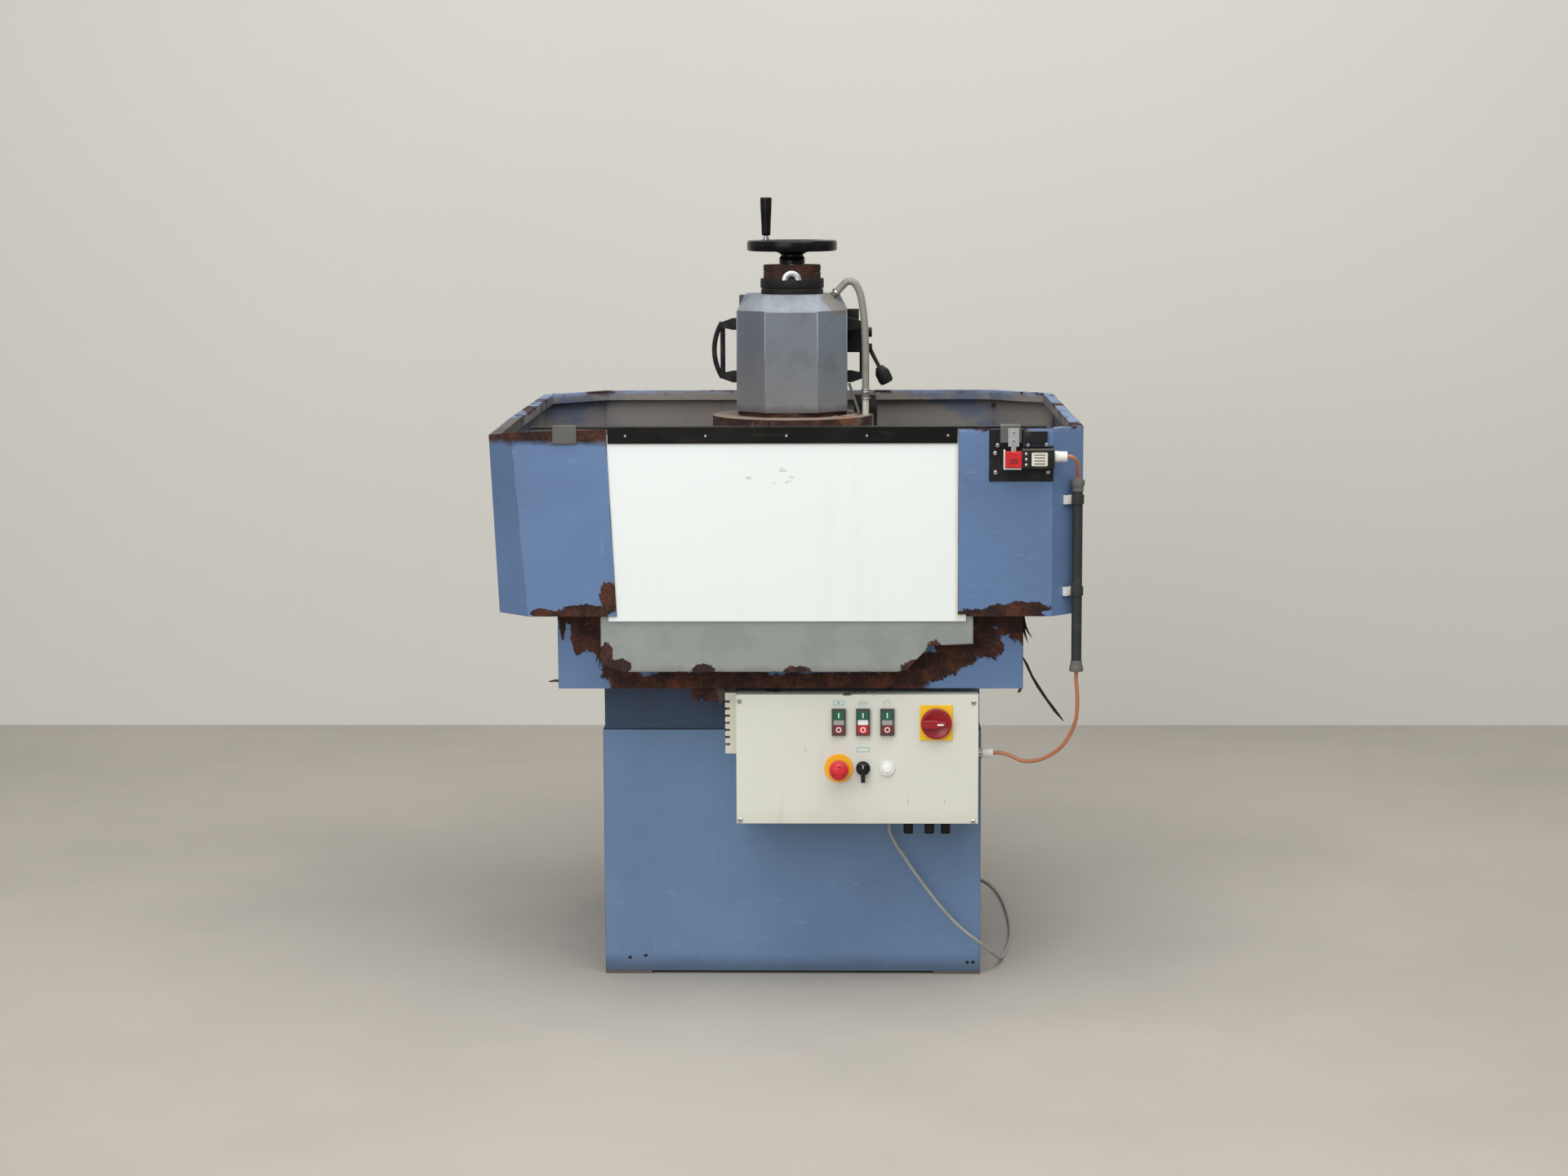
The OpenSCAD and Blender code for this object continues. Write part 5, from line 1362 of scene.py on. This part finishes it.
def make_guard():
    """Wheel guard with its caked slurry, quill, motor, shaft and cup wheel."""
    dress("wheel_guard", "guard rust", 0.0012)
    dress("quill", "machined", 0.0008)
    dress("spindle_motor", "winding", 0.0015)
    dress("spindle_shaft", "machined", 0.0006)
    dress("cup_wheel", "mill steel", 0.0012, more=("abrasive",),
          pick=lambda c: 1 if c.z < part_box("cup_wheel")[0].z + 0.009 else 0)
    # caked slurry round the coolant pipe's foot on the guard
    top = 1.164
    form = Form("guard rust")
    for n in range(22):
        stir = noise.noise_vector(Vector((n * 1.37, 0.6, 4.2)))
        a = -0.30 + 1.1 * stir.x
        r = 0.140 + 0.022 * stir.y
        size = 0.0045 + 0.0035 * abs(stir.z)
        centre = Vector((SPINDLE_X + r * math.cos(a), SPINDLE_Y + r * math.sin(a), top))
        lump = bmesh.ops.create_icosphere(form.bm, subdivisions=2, radius=size)["verts"]
        for v in lump:
            v.co *= 1 + 0.5 * noise.noise(v.co * 210 + Vector((n, n, n)))
            v.co = Vector((v.co.x * (1.5 + stir.y), v.co.y * (1.5 - stir.x),
                           max(-0.0010, v.co.z * 0.4))) + centre
    form.done("caked_slurry", "swing_head", "rusted_steel", sharp=60)


def make_handwheel():
    """Dished handwheel with its pin and turning grip, and the feed screw."""
    low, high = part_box("handwheel")
    x, y = SPINDLE_X, SPINDLE_Y
    hub, tall = low.z, 0.024
    r = high.x - x
    w = 1.526
    Form("bakelite").lathe(
        [(0, hub), (0.0275, hub), (0.0285, hub + 0.001), (0.0285, hub + 0.013),
         (0.0265, hub + 0.0155), (0.025, hub + 0.017), (0.025, hub + 0.020),
         (0.031, w - 0.004), (0.044, w + 0.001), (r * 0.60, w + 0.0055),
         (r * 0.78, w + 0.0068), (r * 0.80, w + 0.001), (r * 0.82, w), (r - 0.005, w),
         (r - 0.0018, w + 0.0012), (r - 0.0001, w + 0.0035), (r, w + 0.012),
         (r - 0.0001, w + 0.0195), (r - 0.0018, w + 0.0225), (r - 0.005, w + tall),
         (r * 0.76, w + tall), (r * 0.73, w + tall - 0.0015), (r * 0.70, w + tall - 0.0045),
         (0.040, w + tall - 0.0085), (0.030, w + tall - 0.007), (0.024, w + tall - 0.003),
         (0.022, w + tall - 0.0022), (0.010, w + tall - 0.0022), (0.009, w + tall - 0.0042),
         (0, w + tall - 0.0042)], (x, y, 0), steps=128).done(
        "handwheel_finished", "handwheel_body", "black_bakelite", sharp=40,
        replaces=("handwheel",))
    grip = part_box("wheel_grip")
    gx, gy = (grip[0].x + grip[1].x) / 2, (grip[0].y + grip[1].y) / 2
    Form("machined").lathe([(0, w + tall - 0.001), (0.0072, w + tall - 0.001),
                            (0.0072, w + tall + 0.003), (0.0052, w + tall + 0.004),
                            (0.0052, grip[0].z - 0.0004), (0, grip[0].z - 0.0004)],
                           (gx, gy, 0), steps=40).done(
        "grip_pin", "handwheel_body", "black_bakelite")
    z0, long = grip[0].z, grip[1].z - grip[0].z
    g = (grip[1].x - grip[0].x) / 2
    Form("bakelite").lathe(
        [(0, z0), (g * 0.62, z0), (g * 0.74, z0 + 0.0015), (g * 0.78, z0 + 0.006),
         (g * 0.80, z0 + long * 0.18), (g * 0.86, z0 + long * 0.42),
         (g * 0.94, z0 + long * 0.66), (g * 0.995, z0 + long * 0.88), (g, z0 + long * 0.965),
         (g * 0.97, z0 + long * 0.985), (g * 0.88, z0 + long * 0.997),
         (g * 0.5, z0 + long), (0, z0 + long)], (gx, gy, 0), steps=56).done(
        "wheel_grip_finished", "grip", "black_bakelite", sharp=50, replaces=("wheel_grip",))
    dress("feed_screw", "machined", 0.0004)


def make_fittings():
    """Terminal box, hose unions, coolant tap and the clamping lever on the head's right."""
    def part_of(c):
        if c.z > 1.405 or (c.y < 0.035 and c.z > 1.19):
            return 1
        return 2 if c.y < 0.045 else 0

    dress("hose_fittings", "matt black", 0.0009, more=("coupler", "clear tube"), pick=part_of)
    grow("Row of ribs", "terminal_box_ribs", "swing_head", "black_plastic", "matt black",
         count=7, start=(0.1335, 0.0715, 1.306), pitch=(0, 0, 0.0073),
         size=(0.030, 0.0016, 0.0034))
    for n, (z, r) in enumerate(((1.2010, 0.0106), (1.2150, 0.0106), (1.2200, 0.0100))):
        Form("zinc").lathe([(0.0082, z - 0.0016), (r - 0.0006, z - 0.0016), (r, z - 0.001),
                            (r, z + 0.001), (r - 0.0006, z + 0.0016), (0.0082, z + 0.0016)],
                           (0.158, 0.020, 0), steps=40, ring=True).done(
            f"hose_clamp_{n + 1}", "swing_head", "zinc")
    start, way = Vector((0.09593, 0.022, 1.43808)), Vector((4.1, 0, 4.38)).normalized()
    Form("zinc").lathe([(0.0082, -0.002), (0.0104, -0.002), (0.0108, -0.001), (0.0108, 0.002),
                        (0.0104, 0.003), (0.0082, 0.003)], start - way * 0.004, way, 40,
                       ring=True).done("hose_union_ring", "swing_head", "zinc")
    pivot = Vector((0.166, 0.091, 1.310))
    elbow = pivot + Vector((0.025, 0, -0.048))
    aim = Vector((18, 0, -36)).normalized()
    knob = elbow + Vector((-0.002, 0, 0.004))
    form = Form("matt black")
    form.lathe([(0.00305, -0.008), (0.0062, -0.008), (0.007, -0.0072), (0.007, 0.0072),
                (0.0062, 0.008), (0.00305, 0.008)], pivot, "Y", 40, ring=True)
    reach = (elbow - pivot).normalized()
    form.tube([pivot + reach * 0.0062, pivot + reach * 0.02, pivot + reach * 0.04, elbow],
              [0.0050, 0.0046, 0.0043, 0.0043], 16)
    form.lathe([(0, -0.001), (0.0086, -0.001), (0.0110, 0.004), (0.0142, 0.009),
                (0.0158, 0.013), (0.0158, 0.034), (0.0148, 0.0385), (0.0110, 0.0402),
                (0, 0.0404)], knob, aim, 40)
    form.done("clamp_lever_finished", "lever", "black_plastic", sharp=40,
              replaces=("clamp_lever",))
    turn = aim.to_track_quat("Z", "Y").to_euler()
    grow("Ring of flutes", "clamp_knob_flutes", "lever", "black_plastic", "matt black",
         count=12, radius=0.0147, size=(0.0030, 0.0036, 0.0200),
         centre=tuple(knob + aim * 0.0235), turn=tuple(turn))


def bolt_circle(x, y, z, radius, count=6):
    """Points evenly round a circle that lies flat."""
    turns = [math.tau * k / count for k in range(count)]
    return [(x + radius * math.cos(a), y + radius * math.sin(a), z) for a in turns]


def make_column():
    """Column behind the hood, with the bolts of its foot."""
    sizes = bpy.context.scene.grinder_sizes
    dress("column", "cast iron", sizes.cast_edge * 0.6)
    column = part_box("column")
    x, base_top = (column[0].x + column[1].x) / 2, column[0].z + 0.022
    spots = bolt_circle(x, COLUMN_Y, base_top, 0.102)
    heads("column_bolts", "root", "cast_iron", "mill steel", spots, "Z", 0.0125, 0.009, 6, 0.98)
    heads("column_washers", "root", "cast_iron", "zinc", spots, "Z", 0.0152, 0.0024, 24, 0.98)


def make_table():
    """Rotary table, its shaft and bearing housing."""
    dress("turntable", "table iron", 0.0012)
    dress("table_shaft", "machined", 0.0008)
    dress("bearing_housing", "cast iron", 0.0020)
    table_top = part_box("turntable")[1].z
    spots = bolt_circle(0, TABLE_Y, table_top, 0.055)
    screws("turntable_bolts", "rotary_table", "cast_iron", spots, "Z", 0.0055)


def make_drive():
    """Table motor, pulley and belt, coolant tank and pump."""
    dress("table_motor", "motor grey", 0.0020)
    grow("Ring of flutes", "motor_fins", "root", "frame_paint", "motor grey", count=28,
         radius=0.077, size=(0.010, 0.0028, 0.170), centre=(0.230, TABLE_Y, 0.375),
         turn=(0, 0, 0))
    dress("motor_pulley", "machined", 0.0010)
    dress("drive_belt", "rubber", 0.0010)
    dress("coolant_tank", "mill steel", 0.0012)
    dress("coolant_pump", "pump green", 0.0025)
    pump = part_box("coolant_pump")
    x, y = (pump[0].x + pump[1].x) / 2, (pump[0].y + pump[1].y) / 2
    grow("Ring of flutes", "pump_fins", "root", "green_paint", "pump green", count=20,
         radius=0.0475, size=(0.006, 0.0024, 0.080), centre=(x, y, pump[1].z - 0.055),
         turn=(0, 0, 0))


# ---- stage -----------------------------------------------------------------------------------

def make_stage():
    """Camera, floor, backdrop, two softboxes and an even sky."""
    stage = bpy.context.scene.grinder_stage
    scene = bpy.context.scene
    pitch, yaw, roll = (math.radians(a) for a in (7.60, 1.31, -0.22))
    ahead = Vector((-math.sin(yaw) * math.cos(pitch), math.cos(yaw) * math.cos(pitch),
                    -math.sin(pitch)))
    right = Vector((math.cos(yaw), math.sin(yaw), 0))
    up = right.cross(ahead)
    right, up = (right * math.cos(roll) + up * math.sin(roll),
                 up * math.cos(roll) - right * math.sin(roll))
    camera = bpy.data.objects.new("Camera", bpy.data.cameras.new("Camera"))
    camera.data.lens = stage.lens
    camera.data.sensor_width = 36
    camera.matrix_world = Matrix.Translation((0.12922, -6.72314, 1.67552)) @ Matrix(
        (right, up, -ahead)).transposed().to_4x4()
    scene.collection.objects.link(camera)
    scene.camera = camera

    def panel(name, finish, corners):
        mesh = bpy.data.meshes.new(name)
        mesh.from_pydata(corners, [], [(0, 1, 2, 3)])
        mesh.materials.append(FINISH[finish])
        piece = bpy.data.objects.new(name, mesh)
        scene.collection.objects.link(piece)

    panel("Floor", "floor", [(-14, -12, 0), (14, -12, 0), (14, 14, 0), (-14, 14, 0)])
    panel("Backdrop", "wall", [(-14, 2.6, 0), (14, 2.6, 0), (14, 2.6, 7), (-14, 2.6, 7)])

    def lamp(name, power, size, place, aim, color):
        data = bpy.data.lights.new(name, "AREA")
        data.energy, data.size, data.color = power, size, color
        light = bpy.data.objects.new(name, data)
        light.location = place
        light.rotation_euler = (Vector(aim) - Vector(place)).to_track_quat("-Z", "Y").to_euler()
        scene.collection.objects.link(light)

    lamp("Overhead softbox", stage.key, 4.5, (0.4, -1.6, 4.6), (0, 0.2, 0.7), (1.0, 0.99, 0.97))
    lamp("Front softbox", stage.fill, 4.0, (-2.2, -5.6, 3.0), (0, 0, 0.8), (0.97, 0.985, 1.0))
    world = bpy.data.worlds.new("Soft room")
    world.use_nodes = True
    world.node_tree.nodes["Background"].inputs["Color"].default_value = (0.80, 0.81, 0.82, 1)
    world.node_tree.nodes["Background"].inputs["Strength"].default_value = 0.62
    scene.world = world
    scene.view_settings.view_transform = "Standard"


# ---- operators and panel ---------------------------------------------------------------------

def mix_all():
    """Every finish, in the order that the pieces need them."""
    mix_floor()
    mix_paints()
    mix_metals()
    mix_head()
    mix_mouldings()


class GRINDER_OT_finishes(bpy.types.Operator):
    """Makes every paint, metal and moulding"""
    bl_idname = "grinder.finishes"
    bl_label = "Mix finishes"

    def execute(self, context):
        mix_all()
        return {"FINISHED"}


class GRINDER_OT_stage(bpy.types.Operator):
    """Places the camera, floor, backdrop and lights"""
    bl_idname = "grinder.stage"
    bl_label = "Set the stage"

    def execute(self, context):
        make_stage()
        return {"FINISHED"}


class GRINDER_OT_cords(bpy.types.Operator):
    """Lays the three cables and the head's hose"""
    bl_idname = "grinder.cords"
    bl_label = "Lay the cords"

    def execute(self, context):
        make_cords()
        return {"FINISHED"}


class GRINDER_OT_pedestal(bpy.types.Operator):
    """Finishes the cabinet, frame, feet and panel"""
    bl_idname = "grinder.pedestal"
    bl_label = "Pedestal"

    def execute(self, context):
        make_pedestal()
        return {"FINISHED"}


class GRINDER_OT_hood(bpy.types.Operator):
    """Finishes the drip pan, hood, guides and apron"""
    bl_idname = "grinder.hood"
    bl_label = "Pan and hood"

    def execute(self, context):
        make_hood()
        return {"FINISHED"}


class GRINDER_OT_wear(bpy.types.Operator):
    """Adds what has rusted or torn away"""
    bl_idname = "grinder.wear"
    bl_label = "Torn and broken bits"

    def execute(self, context):
        make_wear()
        return {"FINISHED"}


class GRINDER_OT_door(bpy.types.Operator):
    """Finishes the lift-up door and its key"""
    bl_idname = "grinder.door"
    bl_label = "Door"

    def execute(self, context):
        make_door()
        return {"FINISHED"}


class GRINDER_OT_interlock(bpy.types.Operator):
    """Finishes the door's switch"""
    bl_idname = "grinder.interlock"
    bl_label = "Interlock switch"

    def execute(self, context):
        make_interlock()
        return {"FINISHED"}


class GRINDER_OT_conduit(bpy.types.Operator):
    """Finishes the conduit and its clips"""
    bl_idname = "grinder.conduit"
    bl_label = "Conduit"

    def execute(self, context):
        make_conduit()
        return {"FINISHED"}


class GRINDER_OT_box(bpy.types.Operator):
    """Finishes the control box and its glands"""
    bl_idname = "grinder.box"
    bl_label = "Control box"

    def execute(self, context):
        make_box()
        return {"FINISHED"}


class GRINDER_OT_buttons(bpy.types.Operator):
    """Makes the start, stop and white buttons"""
    bl_idname = "grinder.buttons"
    bl_label = "Push buttons"

    def execute(self, context):
        make_buttons()
        return {"FINISHED"}


class GRINDER_OT_switches(bpy.types.Operator):
    """Makes the stop mushroom, selector and main switch"""
    bl_idname = "grinder.switches"
    bl_label = "Rotary switches"

    def execute(self, context):
        make_switches()
        return {"FINISHED"}


class GRINDER_OT_head(bpy.types.Operator):
    """Finishes the head, arm, handles and collars"""
    bl_idname = "grinder.head"
    bl_label = "Spindle head"

    def execute(self, context):
        make_head()
        return {"FINISHED"}


class GRINDER_OT_guard(bpy.types.Operator):
    """Finishes the guard, quill and cup wheel"""
    bl_idname = "grinder.guard"
    bl_label = "Guard and wheel"

    def execute(self, context):
        make_guard()
        return {"FINISHED"}


class GRINDER_OT_handwheel(bpy.types.Operator):
    """Turns the handwheel and its grip"""
    bl_idname = "grinder.handwheel"
    bl_label = "Handwheel"

    def execute(self, context):
        make_handwheel()
        return {"FINISHED"}


class GRINDER_OT_fittings(bpy.types.Operator):
    """Finishes the hose fittings and clamping lever"""
    bl_idname = "grinder.fittings"
    bl_label = "Hose and lever"

    def execute(self, context):
        make_fittings()
        return {"FINISHED"}


class GRINDER_OT_column(bpy.types.Operator):
    """Finishes the column and its bolts"""
    bl_idname = "grinder.column"
    bl_label = "Column"

    def execute(self, context):
        make_column()
        return {"FINISHED"}


class GRINDER_OT_table(bpy.types.Operator):
    """Finishes the table, shaft and bearing"""
    bl_idname = "grinder.table"
    bl_label = "Rotary table"

    def execute(self, context):
        make_table()
        return {"FINISHED"}


class GRINDER_OT_drive(bpy.types.Operator):
    """Finishes the motor, belt, tank and pump"""
    bl_idname = "grinder.drive"
    bl_label = "Drive and coolant"

    def execute(self, context):
        make_drive()
        return {"FINISHED"}


OPERATORS = (
    GRINDER_OT_finishes,
    GRINDER_OT_stage,
    GRINDER_OT_cords,
    GRINDER_OT_pedestal,
    GRINDER_OT_hood,
    GRINDER_OT_wear,
    GRINDER_OT_door,
    GRINDER_OT_interlock,
    GRINDER_OT_conduit,
    GRINDER_OT_box,
    GRINDER_OT_buttons,
    GRINDER_OT_switches,
    GRINDER_OT_head,
    GRINDER_OT_guard,
    GRINDER_OT_handwheel,
    GRINDER_OT_fittings,
    GRINDER_OT_column,
    GRINDER_OT_table,
    GRINDER_OT_drive,
)
GROUPS_OF_SIZES = (("grinder_colors", GrinderColors), ("grinder_sizes", GrinderSizes),
                   ("grinder_stage", GrinderStage))


class GRINDER_PT_panel(bpy.types.Panel):
    """Lists the grinder's colours, sizes and pieces"""
    bl_idname = "GRINDER_PT_panel"
    bl_label = "Wet trim grinder"
    bl_space_type = "VIEW_3D"
    bl_region_type = "UI"
    bl_category = "Grinder"

    def draw(self, context):
        for name, group in GROUPS_OF_SIZES:
            box = self.layout.box()
            for key in group.__annotations__:
                box.prop(getattr(context.scene, name), key)
        for operator in OPERATORS:
            self.layout.operator(operator.bl_idname)


def register():
    for name, group in GROUPS_OF_SIZES:
        bpy.utils.register_class(group)
        setattr(bpy.types.Scene, name, PointerProperty(type=group))
    for kind in (*OPERATORS, GRINDER_PT_panel):
        bpy.utils.register_class(kind)


def unregister():
    for kind in (GRINDER_PT_panel, *reversed(OPERATORS)):
        bpy.utils.unregister_class(kind)
    for name, group in reversed(GROUPS_OF_SIZES):
        delattr(bpy.types.Scene, name)
        bpy.utils.unregister_class(group)


def corners(bounds):
    return [[float(v) for v in corner] for corner in bounds]


def main():
    register()
    for operator in OPERATORS:
        group, name = operator.bl_idname.split(".")
        getattr(getattr(bpy.ops, group), name)()


if __name__ == "__main__":
    main()
